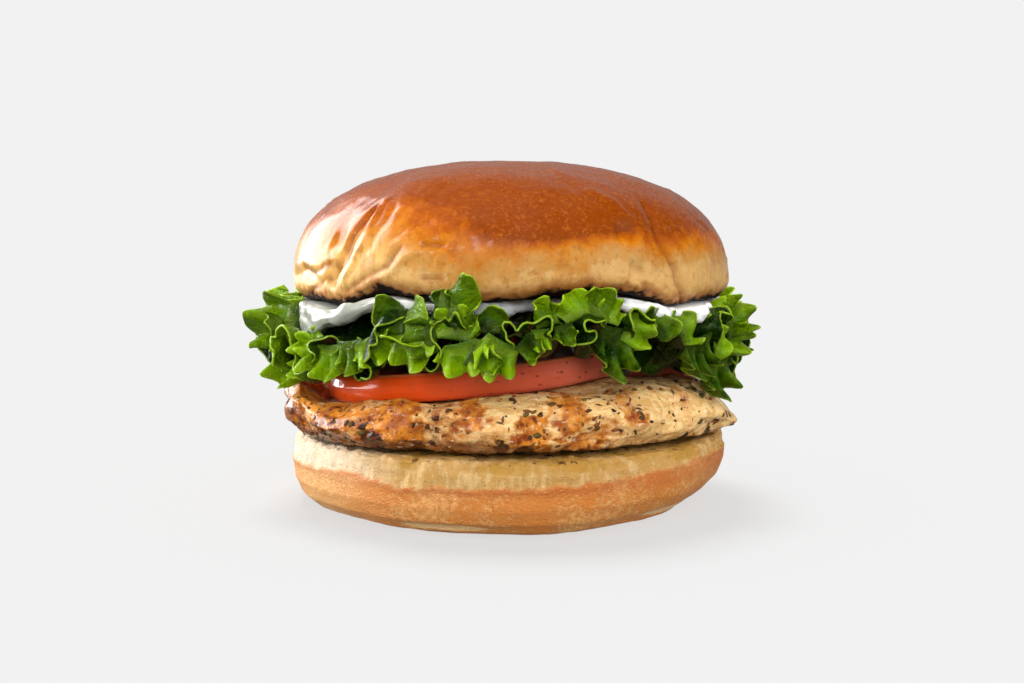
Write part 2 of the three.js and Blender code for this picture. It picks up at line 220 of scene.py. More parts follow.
def finishPiece(piece, node, material):
    piece.data.materials.clear()
    piece.data.materials.append(material)
    selectOnly(piece)
    bpy.ops.object.shade_smooth()
    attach(piece, "root")
    if node:
        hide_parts(node)
    print("made", piece.name, len(piece.data.polygons), "faces")


# Shader maths: a wire is one socket, and sums on wires add Math nodes
class Wire:
    def __init__(self, shop, socket):
        self.shop, self.socket = shop, socket

    def __add__(self, other):
        return self.shop.sum("ADD", self, other)

    def __sub__(self, other):
        return self.shop.sum("SUBTRACT", self, other)

    def __mul__(self, other):
        return self.shop.sum("MULTIPLY", self, other)

    def __truediv__(self, other):
        return self.shop.sum("DIVIDE", self, other)

    def __radd__(self, other):
        return self.shop.sum("ADD", other, self)

    def __rsub__(self, other):
        return self.shop.sum("SUBTRACT", other, self)

    def __rmul__(self, other):
        return self.shop.sum("MULTIPLY", other, self)

    def __pow__(self, other):
        return self.shop.sum("POWER", self, other)


class Finish:  # one material and the ways to add to it
    def __init__(self, name, **fixed):
        self.material = bpy.data.materials.new(name)
        self.material.use_nodes = True
        self.tree = self.material.node_tree
        self.shader = self.tree.nodes["Principled BSDF"]
        for key, value in fixed.items():
            self.shader.inputs[key].default_value = value
        self.place = self.node("ShaderNodeTexCoord", {}, {}, "Object")

    def node(self, kind, settings, sockets, output=0):
        made = self.tree.nodes.new(kind)
        for key, value in settings.items():
            if key == "stops":
                for i, (position, shown) in enumerate(value):
                    if i > 1:
                        made.color_ramp.elements.new(position)
                    made.color_ramp.elements[i].position = position
                    made.color_ramp.elements[i].color = colour(*shown)
            else:
                setattr(made, key, value)
        for key, value in sockets.items():
            if isinstance(value, Wire):
                self.tree.links.new(value.socket, made.inputs[key])
            else:
                made.inputs[key].default_value = value
        return Wire(self, made.outputs[output])

    def sum(self, operation, a, b):
        return self.node("ShaderNodeMath", {"operation": operation}, {0: a, 1: b})

    def read(self, name):
        return self.node("ShaderNodeAttribute", {"attribute_name": name}, {}, "Fac")

    def axis(self, i):  # one coordinate on the piece, in metres
        return self.node("ShaderNodeSeparateXYZ", {}, {0: self.place}, i)

    def scaled(self, size, stretch, shift=0.0):  # the place on the piece, in steps of size millimetres
        scale = [1000 / size / s for s in stretch]
        sockets = {"Vector": self.place, "Location": (shift, shift, shift), "Scale": scale}
        return self.node("ShaderNodeMapping", {}, sockets)

    def cloud(self, size, detail, rough=0.5, stretch=(1, 1, 1), shift=0.0, warp=0.0):
        sockets = {"Vector": self.scaled(size, stretch, shift), "Scale": 1.0, "Detail": detail,
                   "Roughness": rough, "Distortion": warp}
        return self.node("ShaderNodeTexNoise", {}, sockets)

    def cells(self, size, feature="F1", stretch=(1, 1, 1)):
        sockets = {"Vector": self.scaled(size, stretch), "Scale": 1.0}
        return self.node("ShaderNodeTexVoronoi", {"feature": feature}, sockets, "Distance")

    def step(self, wire, low, high):  # 0 below low, 1 above high, soft between
        return self.node("ShaderNodeMapRange", {"interpolation_type": "SMOOTHSTEP"},
                         {"Value": wire, "From Min": low, "From Max": high})

    def blend(self, amount, a, b):  # a and b are wires, or (red, green, blue) as colour takes them
        a, b = [colour(*c) if isinstance(c, tuple) else c for c in (a, b)]
        return self.node("ShaderNodeMix", {"data_type": "RGBA"}, {0: amount, 6: a, 7: b}, 2)

    # With more than two stops, the look goes from the first towards the second as far as the third,
    # changes there to the third, and goes on through the rest
    def ramp(self, amount, stops):
        return self.node("ShaderNodeValToRGB", {"stops": stops}, {"Fac": amount})

    def bump(self, height, distance, under=None):  # distance in millimetres
        sockets = {"Height": height, "Distance": distance * mm, "Strength": 1.0}
        if under:
            sockets["Normal"] = under
        return self.node("ShaderNodeBump", {}, sockets)

    def join(self, **wires):
        for key, wire in wires.items():
            self.tree.links.new(wire.socket, self.shader.inputs[key.replace("_", " ")])
        return self.material


def colour(red, green, blue):  # 0 to 255 as seen on a screen
    def linear(c):
        c = c / 255
        return c / 12.92 if c <= 0.04045 else ((c + 0.055) / 1.055) ** 2.4
    return (linear(red), linear(green), linear(blue), 1)


def hang(name, data, start, aim):  # puts a camera or a lamp at start, turned towards aim
    holder = bpy.data.objects.new(name, data)
    bpy.context.scene.collection.objects.link(holder)
    start, aim = Vector(start), Vector(aim)
    holder.location = start
    holder.rotation_euler = (aim - start).to_track_quat("-Z", "Y").to_euler()
    return holder


# Camera, at the photograph's angle
camera = {"from": (0, -450, 92), "at": (0, 0, 39.4), "lens": 62.6, "shift": 3 / 1024}


def setCamera():
    data = bpy.data.cameras.new("camera")
    data.lens, data.sensor_width, data.shift_x = camera["lens"], 36, camera["shift"]
    data.clip_start, data.clip_end = 0.01, 100
    start, aim = Vector(camera["from"]) * mm, Vector(camera["at"]) * mm
    bpy.context.scene.camera = hang("camera", data, start, aim)


# Crown
crown = {
    "radius": 55, "base": 53.3, "top": 85.2, "tilt": 0.028, "droop": 2.5, "equator": 4.5, "squareness": 2.4,
    "lean": -1, "segments": 460, "rings": 150,
    "tall": 30, "dome": 26,  # these two only space the rings
    "blisters": (190, 70),  # how many, and how many of them at the front
    "rimWaves": [(-48, 8, -1.3), (-33, 9, 1.7), (-12, 14, -0.6), (25, 13, 1.6), (47, 9, -1.2), (110, 15, 0.9),
                 (175, 20, 1.2), (240, 16, -0.8)],
    "creases": [  # path of (turn, height above the rim), width, depth
        ([(51, 1), (47, 6), (44, 10), (42, 15), (42, 18), (44, 22)], 1.8, 0.9),
        ([(-50, 6), (-46, 11), (-43, 16), (-41, 21)], 1.8, 1.1),
        ([(-78, 6), (-66, 7), (-56, 5), (-50, 1)], 1.5, 1.1),
        ([(128, 3), (133, 12), (128, 20)], 2, 1.1),
        ([(-150, 2), (-146, 10), (-152, 19)], 2, 1.1),
    ],
    "folds": [  # finer lines in and beside the creases; a negative depth is a ridge
        ([(51, 1), (47, 6), (44.5, 10), (42, 15), (42, 17.5), (44, 21), (44, 24)], 0.5, 0.8),
        ([(54, 3), (49.5, 8), (46.5, 13), (46.5, 18)], 0.9, -0.35),
        ([(45, 19.8), (49, 19), (54, 19.5)], 0.4, 0.35),
        ([(28, 23.7), (34, 18.2)], 1.0, -0.3),
        ([(34, 7.5), (33.5, 5), (34.5, 2)], 0.35, 0.35),
        ([(22, 6.5), (22.5, 4)], 0.35, 0.25),
        ([(-38, 22), (-38, 14.5), (-41, 9), (-44, 5.6)], 0.8, -0.8),
        ([(-42, 21), (-43.5, 16.5), (-45, 11), (-49, 7)], 0.9, 0.6),
        ([(-33, 20), (-34, 16), (-36, 11)], 1.0, 0.4),
        ([(-67, 8), (-61, 6.8), (-56, 8), (-50, 10.5)], 0.7, 0.6),
        ([(-61, 2.4), (-56, 4.5), (-52, 6.5), (-48, 5)], 0.7, 0.55),
        ([(-44, 3), (-36, 4.6), (-30, 7), (-26, 11)], 0.8, 0.55),
        ([(-40, 2), (-33, 3.6), (-27, 7), (-23, 11)], 0.8, -0.4),
        ([(-30, 13), (-26, 16.5), (-22, 18)], 0.7, 0.3),
        ([(-19, 8), (-18, 12), (-17, 15)], 0.6, 0.25),
        ([(-15, 6), (-14, 11)], 0.6, 0.22),
        ([(66, 20), (70, 15), (76, 12)], 0.8, 0.3),
        ([(-100, 2), (-104, 9), (-98, 15)], 0.7, 0.5),
        ([(96, 1), (92, 8), (95, 14)], 0.7, 0.4),
        ([(160, 2), (165, 9), (158, 17)], 0.7, 0.5),
        ([(-172, 3), (-168, 10)], 0.7, 0.4),
    ],
}


burntRim = [  # where the cut edge is charred higher: turn, width, extra height
    (-62, 12, 1.0), (-49, 8, 1.3), (-33, 7, 1.6), (-22, 8, 0.5), (13, 7, 2.4), (24, 8, 0.5), (36, 4, 1.3),
    (44, 6, 0.3), (59, 7, 1.2), (82, 12, 1.2), (120, 14, 1.8), (165, 25, 1.1), (210, 20, 1.6), (250, 16, 1.2)]


def crownBase(x, y):
    turn = np.degrees(np.arctan2(x, -y))
    nearRim = smoothStep(np.hypot(x, y), 38, 53)
    droop = crown["droop"] * (x / crown["radius"]) ** 2
    return crown["base"] - crown["tilt"] * y - droop + nearRim * waves(crown["rimWaves"], turn)


def makeCrown():
    radius, equator, tall = crown["radius"], crown["equator"], crown["tall"]
    rows = [(0, 0, 0, 0, 0), (0.68, 0, 0, 0, 0), (0.82, 0, 0, 0, 0), (0.93, 0, 0, 0, 0),
            (0.962, 0.7 / tall, 0.7, 0, 1), (0.988, 2.4 / tall, 2.4, 0, 1)]
    power, steps = 2 / crown["squareness"], 24
    for i in range(steps + 1):
        turn = i / steps * math.pi / 2
        share = 0 if i == steps else math.cos(turn) ** power
        rise = math.sin(turn) ** power
        rows.append((share, (equator + rise * crown["dome"]) / tall, equator, rise, 1))
    piece, angle, along = roundBlank("crown_crust", crown["segments"], crown["rings"])
    crowd = [0.25, 0.6, 1, 1.5, 1.5] + [1] * (len(rows) - 6)
    share, _, lift, rise, side = readOutline(rows, along, radius, tall, crowd, 0.012)
    x, y = share * radius * np.sin(angle), -share * radius * np.cos(angle)
    flat = crownBase(x, y)
    rimY = -radius * np.cos(angle)
    rim = crownBase(radius * np.sin(angle), rimY) + crown["tilt"] * rimY
    height = lift + rise * (crown["top"] - rim - lift)
    x = x + crown["lean"] * rise ** 3
    turn = np.degrees(angle)
    swell = 0.55 * np.sin(2 * angle + 1.1) + 0.35 * np.sin(3 * angle + 2.6)
    swell = (swell + 0.3 * np.sin(5 * angle + height * 0.08)) * smoothStep(share * radius, 0, 40)
    for path, width, depth in crown["creases"]:
        swell -= depth * bell(nearPath(turn, height, path), width) * smoothStep(share * radius, 15, 35)
    outward = np.stack([x, y, 0.9 * np.maximum(0, height - lift)], 1)
    outward /= np.maximum(np.linalg.norm(outward, axis=1), 1e-6)[:, None]
    z = between(flat, rim - crown["tilt"] * y + height, side)
    writePoints(piece, np.stack([x, y, z], 1) + (swell * side)[:, None] * outward)

    # Relief of the crust: folds, soft lumps, drawn streaks over the rim, blisters, and a charred ragged edge
    points = readPoints(piece)
    relief = 0.32 * rough(points, 13, 1, 2) + 0.1 * rough(points, 4.5, 2, 3)
    creaseShade = np.zeros(len(points))
    for path, width, depth in crown["folds"]:
        wander = nearPath(turn + 1.3 * rough(points, 6, 9, 2), height, path)
        # the deeper folds are also kept for painted shade in the crust colour
        if depth > 0.45:
            creaseShade = np.maximum(creaseShade, bell(wander, max(width, 0.7)))
        relief -= depth * bell(wander, width) * smoothStep(share * radius, 15, 35)
    relief += 0.16 * rough(points, 1.5, 3, 2, (1, 1, 5)) * bell(height - 3, 6)
    draw = random.Random(5)
    count, atFront = crown["blisters"]
    for i in range(count):
        front = i < atFront
        at = draw.gauss(8, 9) if front else draw.uniform(-180, 180)
        low = draw.uniform(13, 25) if front else draw.uniform(8, 29)
        size = draw.uniform(0.35, 0.8)
        close = np.abs(turnBetween(turn, at)) < 5
        if close.any():
            sideways = np.radians(turnBetween(turn[close], at)) * share[close] * radius
            spot = np.hypot(sideways, height[close] - low)
            relief[close] += draw.choice((0.22, 0.16, -0.12)) * bell(spot, size)
    edge = bell(height - 0.8, 1.6) * side
    relief += edge * (0.3 * rough(points, 1.6, 4, 3) - 0.1)
    relief = np.where(side < 0.5, 0.35 * rough(points, 2.2, 6, 3) - 0.25, relief - 0.12)
    push(piece, relief)
    keepIn(piece, *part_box("bun_crown"))
    char = 0.75 + waves(burntRim, turn) * (0.6 + 0.5 * rough(points, 5, 11, 2))
    over = np.where(side < 0.5, -2.0, height) - (char + 0.9 * rough(points, 1.8, 12, 3))
    paint(piece, "height", height)
    paint(piece, "aboveChar", np.where(share < 0.86, 3.0, over))
    paint(piece, "cutFace", (side < 0.5) & (share < 0.9))
    paint(piece, "creaseShade", creaseShade * side)
    return piece


def crustFinish():
    crust = Finish("glazed crust", **{
        "IOR": 1.5, "Coat Roughness": 0.16, "Coat IOR": 1.5, "Specular IOR Level": 0.2,
        "Subsurface Weight": 0.05, "Subsurface Scale": 0.003})
    height, cut, over = crust.read("height"), crust.read("cutFace"), crust.read("aboveChar")
    patches = crust.cloud(16, 3) - 0.5
    mottle = crust.cloud(3.2, 4, 0.6) - 0.5
    streaks = crust.cloud(1.6, 3, 0.5, (1, 1, 7)) - 0.5
    sides = crust.axis(0)
    rightSheenAndShade = crust.step(sides, 0.015, 0.045)
    heart = crust.step(sides, -0.012, 0.008) * crust.step(sides, 0.034, 0.018) * crust.step(height, 10, 17)
    upward = height / 27  # reaches 1 high on the dome
    # baked is the browning of the crust; on the right it is also painted lighter low down and darker high up,
    # a painted sheen and painted shade
    baked = upward + rightSheenAndShade * (upward - 0.55) * 1.2 + heart * 0.7 + patches * 0.5 + mottle * 0.5
    # the left side is painted a little lighter: painted light from the left
    baked = baked + streaks * 0.14 - crust.step(sides, -0.012, -0.03) * 0.1
    look = crust.ramp(baked, [
        (0.0, (202, 158, 94)), (1.0, (84, 30, 0)), (0.17, (182, 136, 72)),
        (0.3, (178, 120, 48)), (0.44, (178, 102, 2)), (0.6, (156, 74, 0)),
        (0.8, (124, 52, 0))])
    look = crust.blend(crust.step(crust.cloud(0.9, 3, 0.6), 0.5, 0.7) * 0.24, look, (206, 122, 30))
    dimples = crust.step(crust.cloud(1.3, 3, 0.6, shift=3.0), 0.52, 0.72)
    look = crust.blend(dimples * 0.35, look, (112, 44, 0))
    tiny = crust.step(crust.cells(0.8), 0.3, 0.1) * crust.step(crust.cloud(4, 2), 0.45, 0.65)
    look = crust.blend(tiny * 0.25, look, (230, 160, 70))
    # Pale gold on the left flank: partly the crust's colour, partly a painted reflection of the light on the
    # left
    goldAndSheen = crust.step(sides, -0.018, -0.036) * crust.step(height, 19, 8)
    goldAndSheen = goldAndSheen * crust.step(mottle + streaks, -0.16, 0.14)
    look = crust.blend(goldAndSheen * 0.6, look, (246, 200, 118))
    # painted shade along the deeper creases
    look = crust.blend(crust.read("creaseShade") * 0.5, look, (132, 60, 8))
    singed = crust.step(over + mottle * 4, 3.4, 0.2)
    black = crust.step(over + mottle * 2.4, 0.6, -0.5)
    look = crust.blend(singed * 0.8, look, (138, 72, 20))
    look = crust.blend(black * 0.98, look, (11, 5, 6))
    crumb = crust.blend(crust.cloud(3, 3), (226, 190, 130), (196, 140, 76))
    look = crust.blend(cut * (1 - black), look, crumb)
    grain = crust.cloud(0.75, 3, 0.6) * 0.6 + crust.cloud(0.3, 2) * 0.4
    relief = crust.bump(grain, 0.11)
    relief = crust.bump(crust.cloud(2.6, 3, 0.55), 0.12, relief)
    glaze = (crust.step(height, 1.5, 9) * 0.7 + 0.2) * (1 - cut) * (1 - black * 0.6) * 0.42
    dull = 0.52 + (crust.cloud(5, 3) - 0.5) * 0.3 - crust.step(height, 1.5, 10) * 0.24 + black * 0.4
    return crust.join(Base_Color=look, Normal=relief, Coat_Weight=glaze, Roughness=dull)


# Heel
heel = {
    "radius": 55, "height": 18.2, "segments": 420, "rings": 120,
    "rows": [(0, 0), (0.5, 0), (0.86, 0), (0.915, 0.9), (0.965, 3.4), (0.992, 7), (1, 11.5), (0.992, 15.2),
             (0.98, 17.4), (0.955, 18.2), (0.6, 18.2), (0, 18.2)],
    "pinch": (66, 36, 5.2, 7.5),  # turn, width, depth, height
    "crustTop": 12.1,
    "crustWaves": [(60, 32, 3), (-46, 12, 1.2), (-27, 6, -0.9), (110, 20, 1.5), (200, 40, 1.2)],
}


def makeHeel():
    radius = heel["radius"]
    piece, angle, along = roundBlank("heel_bread", heel["segments"], heel["rings"])
    crowd = [0.2, 0.35, 1, 1, 1.2, 1.3, 1.3, 1.5, 1.5, 0.5, 0.15]
    share, z = readOutline(heel["rows"], along, radius, 1, crowd, 0.01)
    z = np.clip(z, 0, heel["height"])
    turn = np.degrees(angle)
    side = smoothStep(share, 0.5, 0.95)
    lump = 0.5 * np.sin(2 * angle + 0.7) + 0.4 * np.sin(5 * angle + 2) + 0.25 * np.sin(9 * angle)
    at, width, depth, low = heel["pinch"]
    pinched = depth * bell(z, low) * bell(turnBetween(turn, at), width)
    reach = share * radius + side * (lump - pinched)
    writePoints(piece, np.stack([reach * np.sin(angle), -reach * np.cos(angle), z], 1))

    points = readPoints(piece)
    line = heel["crustTop"] + waves(heel["crustWaves"], turn)
    line = line + 0.6 * rough(points, 5, 1, 2) + 0.5 * rough(points, 1.5, 8, 3)
    torn = smoothStep(z, line - 0.3, line + 0.5)  # the pale crumb above the crust
    wall = smoothStep(share, 0.86, 0.93)
    relief = 0.22 * rough(points, 11, 2, 2) + 0.07 * rough(points, 3, 3, 3)
    pulled = rough(points, 1.7, 4, 3, (1, 1, 3.4))
    relief += torn * (0.6 * pulled + 0.3 * rough(points, 3.4, 5, 2) - 0.25) * wall
    relief += 0.22 * bell(z - line + 0.4, 0.7) * wall
    peeled = bell(turnBetween(turn, -17), 13) * bell(z - 2.0, 1.0)
    peeled = peeled + bell(turnBetween(turn, 52), 15) * bell(z - 2.6, 1.2)
    relief -= 0.5 * peeled * wall
    ragged = rough(points, 2.2, 7, 3)
    relief = between(0.5 * ragged - 0.45, relief - 0.1, np.maximum(wall, z < 9))
    relief = np.where(z < 0.02, 0, relief)
    push(piece, relief)
    keepIn(piece, *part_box("bun_heel"))
    paint(piece, "torn", torn)
    paint(piece, "peeled", peeled)
    paint(piece, "height", z)
    return piece


def breadFinish():
    bread = Finish("heel bread", **{
        "IOR": 1.45, "Specular IOR Level": 0.35, "Coat Roughness": 0.3,
        "Subsurface Weight": 0.12, "Subsurface Scale": 0.004})
    torn, peeled, height = bread.read("torn"), bread.read("peeled"), bread.read("height")
    patches = bread.cloud(14, 3) - 0.5
    mottle = bread.cloud(1.2, 4, 0.7) - 0.5
    baked = 0.5 + patches * 1.5 + mottle * 1.9
    crustLook = bread.ramp(baked, [
        (0.0, (234, 172, 98)), (1.0, (158, 74, 22)), (0.5, (206, 126, 52))])
    edgeBrown = bread.step(height, 9.0, 12.0) * (1 - torn)
    crustLook = bread.blend(edgeBrown * 0.45, crustLook, (172, 84, 36))
    dots = bread.step(bread.cells(1.5), 0.16, 0.05)
    crustLook = bread.blend(dots * 0.5, crustLook, (236, 186, 120))
    crumb = bread.ramp(bread.cloud(2.2, 4, 0.6, (1, 1, 3)), [
        (0.3, (216, 180, 120)), (0.72, (160, 110, 50)), (0.5, (190, 146, 80))])
    oily = bread.cloud(9, 3, 0.5) * bread.step(height, 13.2, 16.5)
    crumb = bread.blend(bread.step(oily, 0.4, 0.6) * 0.65, crumb, (172, 126, 30))
    across = bread.axis(0)
    # The left side of the crumb and crust is painted paler: painted light from the left
    crumb = bread.blend(bread.step(across, -0.022, -0.046) * 0.5, crumb, (250, 240, 220))
    paintedLeftLight = bread.step(across, -0.022, -0.045)
    crustLook = bread.blend(paintedLeftLight * 0.25, crustLook, (246, 200, 136))
    look = bread.blend(torn, crustLook, crumb)
    look = bread.blend(bread.step(peeled + mottle * 0.6, 0.35, 0.55) * 0.8, look, (238, 198, 138))
    toasted = bread.step(bread.cloud(3.2, 4, 0.6) + bread.step(height, 16.8, 18.1) * 0.08, 0.66, 0.76)
    look = bread.blend(toasted * bread.step(height, 15.2, 17.2), look, (84, 46, 20))
    grain = bread.cloud(0.6, 3, 0.65) * 0.7 + bread.step(bread.cells(0.8), 0.0, 0.5) * 0.3
    relief = bread.bump(grain + bread.cloud(0.3, 2) * 0.3, 0.5)
    relief = bread.bump(bread.cloud(1.8, 3, 0.6, (1, 1, 2.4)) * torn, 0.5, relief)
    return bread.join(Base_Color=look, Normal=relief, Roughness=0.55 + mottle * 0.3 + torn * 0.12,
                      Coat_Weight=(1 - torn) * 0.18)


print("helpers ready")
setCamera()
finishPiece(makeCrown(), "bun_crown", crustFinish())
finishPiece(makeHeel(), "bun_heel", breadFinish())


# Tomato slices
tomato = {
    "thickness": 7.2, "segments": 220, "rings": 80, "cutterSides": 160, "gap": 0.9,
    "rows": [(0, -0.5), (0.6, -0.5), (0.93, -0.5), (0.965, -0.47), (0.985, -0.36), (1, -0.1),
             (1, 0.1), (0.985, 0.36), (0.965, 0.47), (0.93, 0.5), (0.6, 0.5), (0, 0.5)],
    "crowd": [0.3, 0.7, 1.5, 2, 2, 2, 2, 2, 1.5, 0.7, 0.3],
    "front": {"x": -8, "y": -6.5, "z": 33, "radius": 37.5, "across": 0.1, "front": 0.045, "lobes": 5},
    "back": {"x": 22, "y": 12, "z": 35.6, "radius": 29, "across": -0.02, "front": 0.02, "lobes": 6},
}


def slicePlane(slice, x, y):
    return slice["z"] + slice["across"] * (x - slice["x"]) - slice["front"] * (y - slice["y"])


def makeSlice(name, slice):
    radius, thick = slice["radius"], tomato["thickness"]
    piece, angle, along = roundBlank(name, tomato["segments"], tomato["rings"])
    share, level = readOutline(tomato["rows"], along, radius, thick, tomato["crowd"], 0.02)
    wobble = 1 + 0.012 * np.sin(slice["lobes"] * angle) + 0.008 * np.sin(2 * angle + 1)
    reach = share * radius * wobble
    x = slice["x"] + reach * np.sin(angle)
    y = slice["y"] - reach * np.cos(angle)
    z = slicePlane(slice, x, y) + np.clip(level, -0.5, 0.5) * thick
    writePoints(piece, np.stack([x, y, z], 1))
    return piece


def skinFinish(name, slice, tint):
    skin = Finish(name, **{
        "IOR": 1.45, "Coat Roughness": 0.06, "Coat IOR": 1.5, "Specular IOR Level": 0.2,
        "Subsurface Weight": 0.25, "Subsurface Scale": 0.002, "Subsurface Radius": (1.0, 0.25, 0.1)})
    x, y, z = [skin.axis(i) for i in range(3)]
    dx, dy = x - slice["x"] * mm, y - slice["y"] * mm
    plane = slice["z"] * mm + dx * slice["across"] - dy * slice["front"]
    level = (z - plane) / (tomato["thickness"] * mm)
    out = (dx * dx + dy * dy) ** 0.5 / (slice["radius"] * mm)
    # The right side of the skin is painted pinker and given less coat: a painted sheen; the dark specks are
    # placed only there
    paintedSheen = skin.step(x, -0.03, 0.022)
    wall = skin.blend(paintedSheen, tint, (206, 100, 76))
    wall = skin.blend(skin.step(skin.cloud(7, 3), 0.45, 0.7) * 0.35, wall, (206, 88, 40))
    specks = skin.step(skin.cells(1.5, stretch=(2, 2, 1)), 0.24, 0.12) * paintedSheen
    wall = skin.blend(specks * 0.75, wall, (96, 10, 8))
    pulp = skin.cloud(6, 4, 0.5, warp=1.0)
    flesh = skin.ramp(pulp, [(0.3, (168, 30, 6)), (0.7, (206, 66, 20))])
    seeds = skin.step(skin.cells(3.4), 0.22, 0.12) * skin.step(out, 0.8, 0.7) * skin.step(out, 0.3, 0.4)
    flesh = skin.blend(seeds * 0.8, flesh, (214, 150, 60))
    onFace = skin.step(skin.sum("ABSOLUTE", level, 0.0), 0.43, 0.47) * skin.step(out, 0.985, 0.955)
    look = skin.blend(onFace, wall, flesh)
    # A lighter line along the top edge of the skin: a painted highlight
    rim = skin.step(out, 0.945, 0.965) * skin.step(level, 0.36, 0.45)
    look = skin.blend(rim * 0.8, look, (236, 140, 84))
    relief = skin.bump(skin.cloud(1.2, 2), 0.04)
    relief = skin.bump(skin.cloud(7, 2), 0.5, relief)
    return skin.join(Base_Color=look, Normal=relief, Roughness=0.3 + onFace * 0.1,
                     Coat_Weight=0.85 - paintedSheen * 0.5)


def makeTomato():
    front = makeSlice("tomato_front", tomato["front"])
    back = makeSlice("tomato_back", tomato["back"])
    bite = tomato["front"]
    bpy.ops.mesh.primitive_cylinder_add(
        vertices=tomato["cutterSides"], radius=(bite["radius"] * 1.012 + tomato["gap"]) * mm, depth=0.06,
        location=(bite["x"] * mm, bite["y"] * mm, tomato["back"]["z"] * mm))
    cutter = bpy.context.object
    useModifier(back, "BOOLEAN", object=cutter, operation="DIFFERENCE", solver="EXACT")
    bpy.data.objects.remove(cutter)
    for piece, node, slice, tint in ((front, "tomato_slice_front", tomato["front"], (240, 82, 14)),
                                     (back, "tomato_slice_back", tomato["back"], (240, 84, 36))):
        keepIn(piece, *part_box(node))
        finishPiece(piece, node, skinFinish(piece.name.replace("_", " "), slice, tint))
        bpy.ops.object.shade_smooth_by_angle(angle=math.radians(35))


makeTomato()


# Chicken breast
breast = {
    "segments": 480, "rings": 150, "bottom": 18.5,
    "about": (53, 12.5),  # radius and thickness, to space the rings and the spots
    "radii": [52, 53, 54.5, 55, 49, 45, 45, 47, 51, 56.5, 57.5, 54.5],
    "tip": (74, 12, 2.2),
    "rows": [(0, 0), (0.5, 0), (0.84, 0), (0.93, 0.07), (0.978, 0.26), (1, 0.5), (0.985, 0.74), (0.945, 0.91),
             (0.88, 1), (0.76, 1), (0.6, 1), (0.35, 1), (0, 1)],
    "char": [  # burnt spots as (turn, level from 0 at the bottom to 1 at the top, reach in mm, strength)
        (-58, 0.1, 3.6, 1.0), (-50, 0.3, 2.6, 0.8), (-36, 0.18, 4.5, 0.9), (-38, 0.5, 2.2, 0.8),
        (-66, 0.2, 2.4, 0.7), (-26, 0.02, 4, 0.9), (-2, 0.16, 3.2, 0.8), (4, 0.05, 4, 0.9),
        (8, 0.32, 1.6, 0.6),
        (60, 0.98, 3, 0.6), (76, 0.35, 2.4, 0.6), (64, 0.12, 3, 0.6), (130, 0.3, 4, 0.8), (170, 0.5, 4, 0.8),
        (205, 0.2, 5, 0.9), (240, 0.4, 4, 0.7), (100, 0.2, 3, 0.6)],
    "seared": [  # orange-brown patches, the same way
        (-66, 0.6, 11, 1.0), (-48, 0.55, 9, 0.95), (-30, 0.6, 8, 0.75), (-36, 0.2, 9, 0.9),
        (-10, 0.75, 5, 0.5), (6, 0.3, 7, 0.95), (16, 0.75, 7, 0.7), (26, 0.35, 5, 0.7), (34, 0.8, 7, 0.6),
        (52, 0.85, 4, 0.5),
        (20, 0.1, 6, 0.7), (-80, 0.8, 8, 0.6), (-95, 0.5, 9, 0.5), (110, 0.6, 9, 0.7), (140, 0.4, 10, 0.8),
        (175, 0.7, 10, 0.8), (210, 0.4, 11, 0.9), (235, 0.7, 8, 0.7), (62, 0.45, 4, 0.4)],
}


def breastTop(x, y):
    plump = 30.8 + 2.4 * bell(x - 24, 24) * bell(y + 20, 26) + 1.2 * bell(x + 5, 20) * bell(y + 42, 12)
    dip = 4.6 * bell(x + 43, 13) * bell(y + 6, 34)
    curl = 4.4 * smoothStep(-x, 45, 54) * bell(y + 8, 26)
    taper = 7.5 * smoothStep(x, 44, 60)
    backFall = 2.5 * smoothStep(y, 10, 45)
    grain = 0.45 * np.sin(0.42 * y + 0.1 * x) + 0.35 * np.sin(0.21 * x - 0.16 * y + 1)
    return plump - dip + curl - taper - backFall + grain


def breastPoint(angle, share, level):
    turn = np.degrees(angle)
    at, width, reach = breast["tip"]
    radius = roundCurve(breast["radii"], angle) + reach * bell(turnBetween(turn, at), width)
    radius = radius + 0.7 * np.sin(6 * angle + 1) + 0.5 * np.sin(11 * angle + 2)
    folds = 0.9 * np.sin(9 * angle + 5 * level) + 0.6 * np.sin(17 * angle - 6 * level)
    out = share * radius + folds * smoothStep(share, 0.9, 1) * smoothStep(level, 0, 0.3)
    x, y = out * np.sin(angle), -out * np.cos(angle)
    return np.stack([x, y, between(breast["bottom"], breastTop(x, y), level)], -1)


def spots(turn, level, share, listed, wander):
    around, thick = breast["about"]
    amount = np.zeros(len(turn))
    for at, height, reach, strength in listed:
        away = np.hypot(np.radians(turnBetween(turn, at)) * around, (level - height) * thick)
        away = away + wander * reach
        away = away + 14 * np.maximum(0, 0.9 - share)
        amount = np.maximum(amount, strength * smoothStep(-away, -reach, -0.45 * reach))
    return amount


def clearOfSlices(points, gap):  # the meat gives way where a tomato slice lies on it
    for slice in (tomato["front"], tomato["back"]):
        away = np.hypot(points[:, 0] - slice["x"], points[:, 1] - slice["y"])
        under = slicePlane(slice, points[:, 0], points[:, 1]) - tomato["thickness"] / 2 - gap
        over = away < slice["radius"] * 1.02 + gap
        points[:, 2] = np.where(over, np.minimum(points[:, 2], under), points[:, 2])
    return points


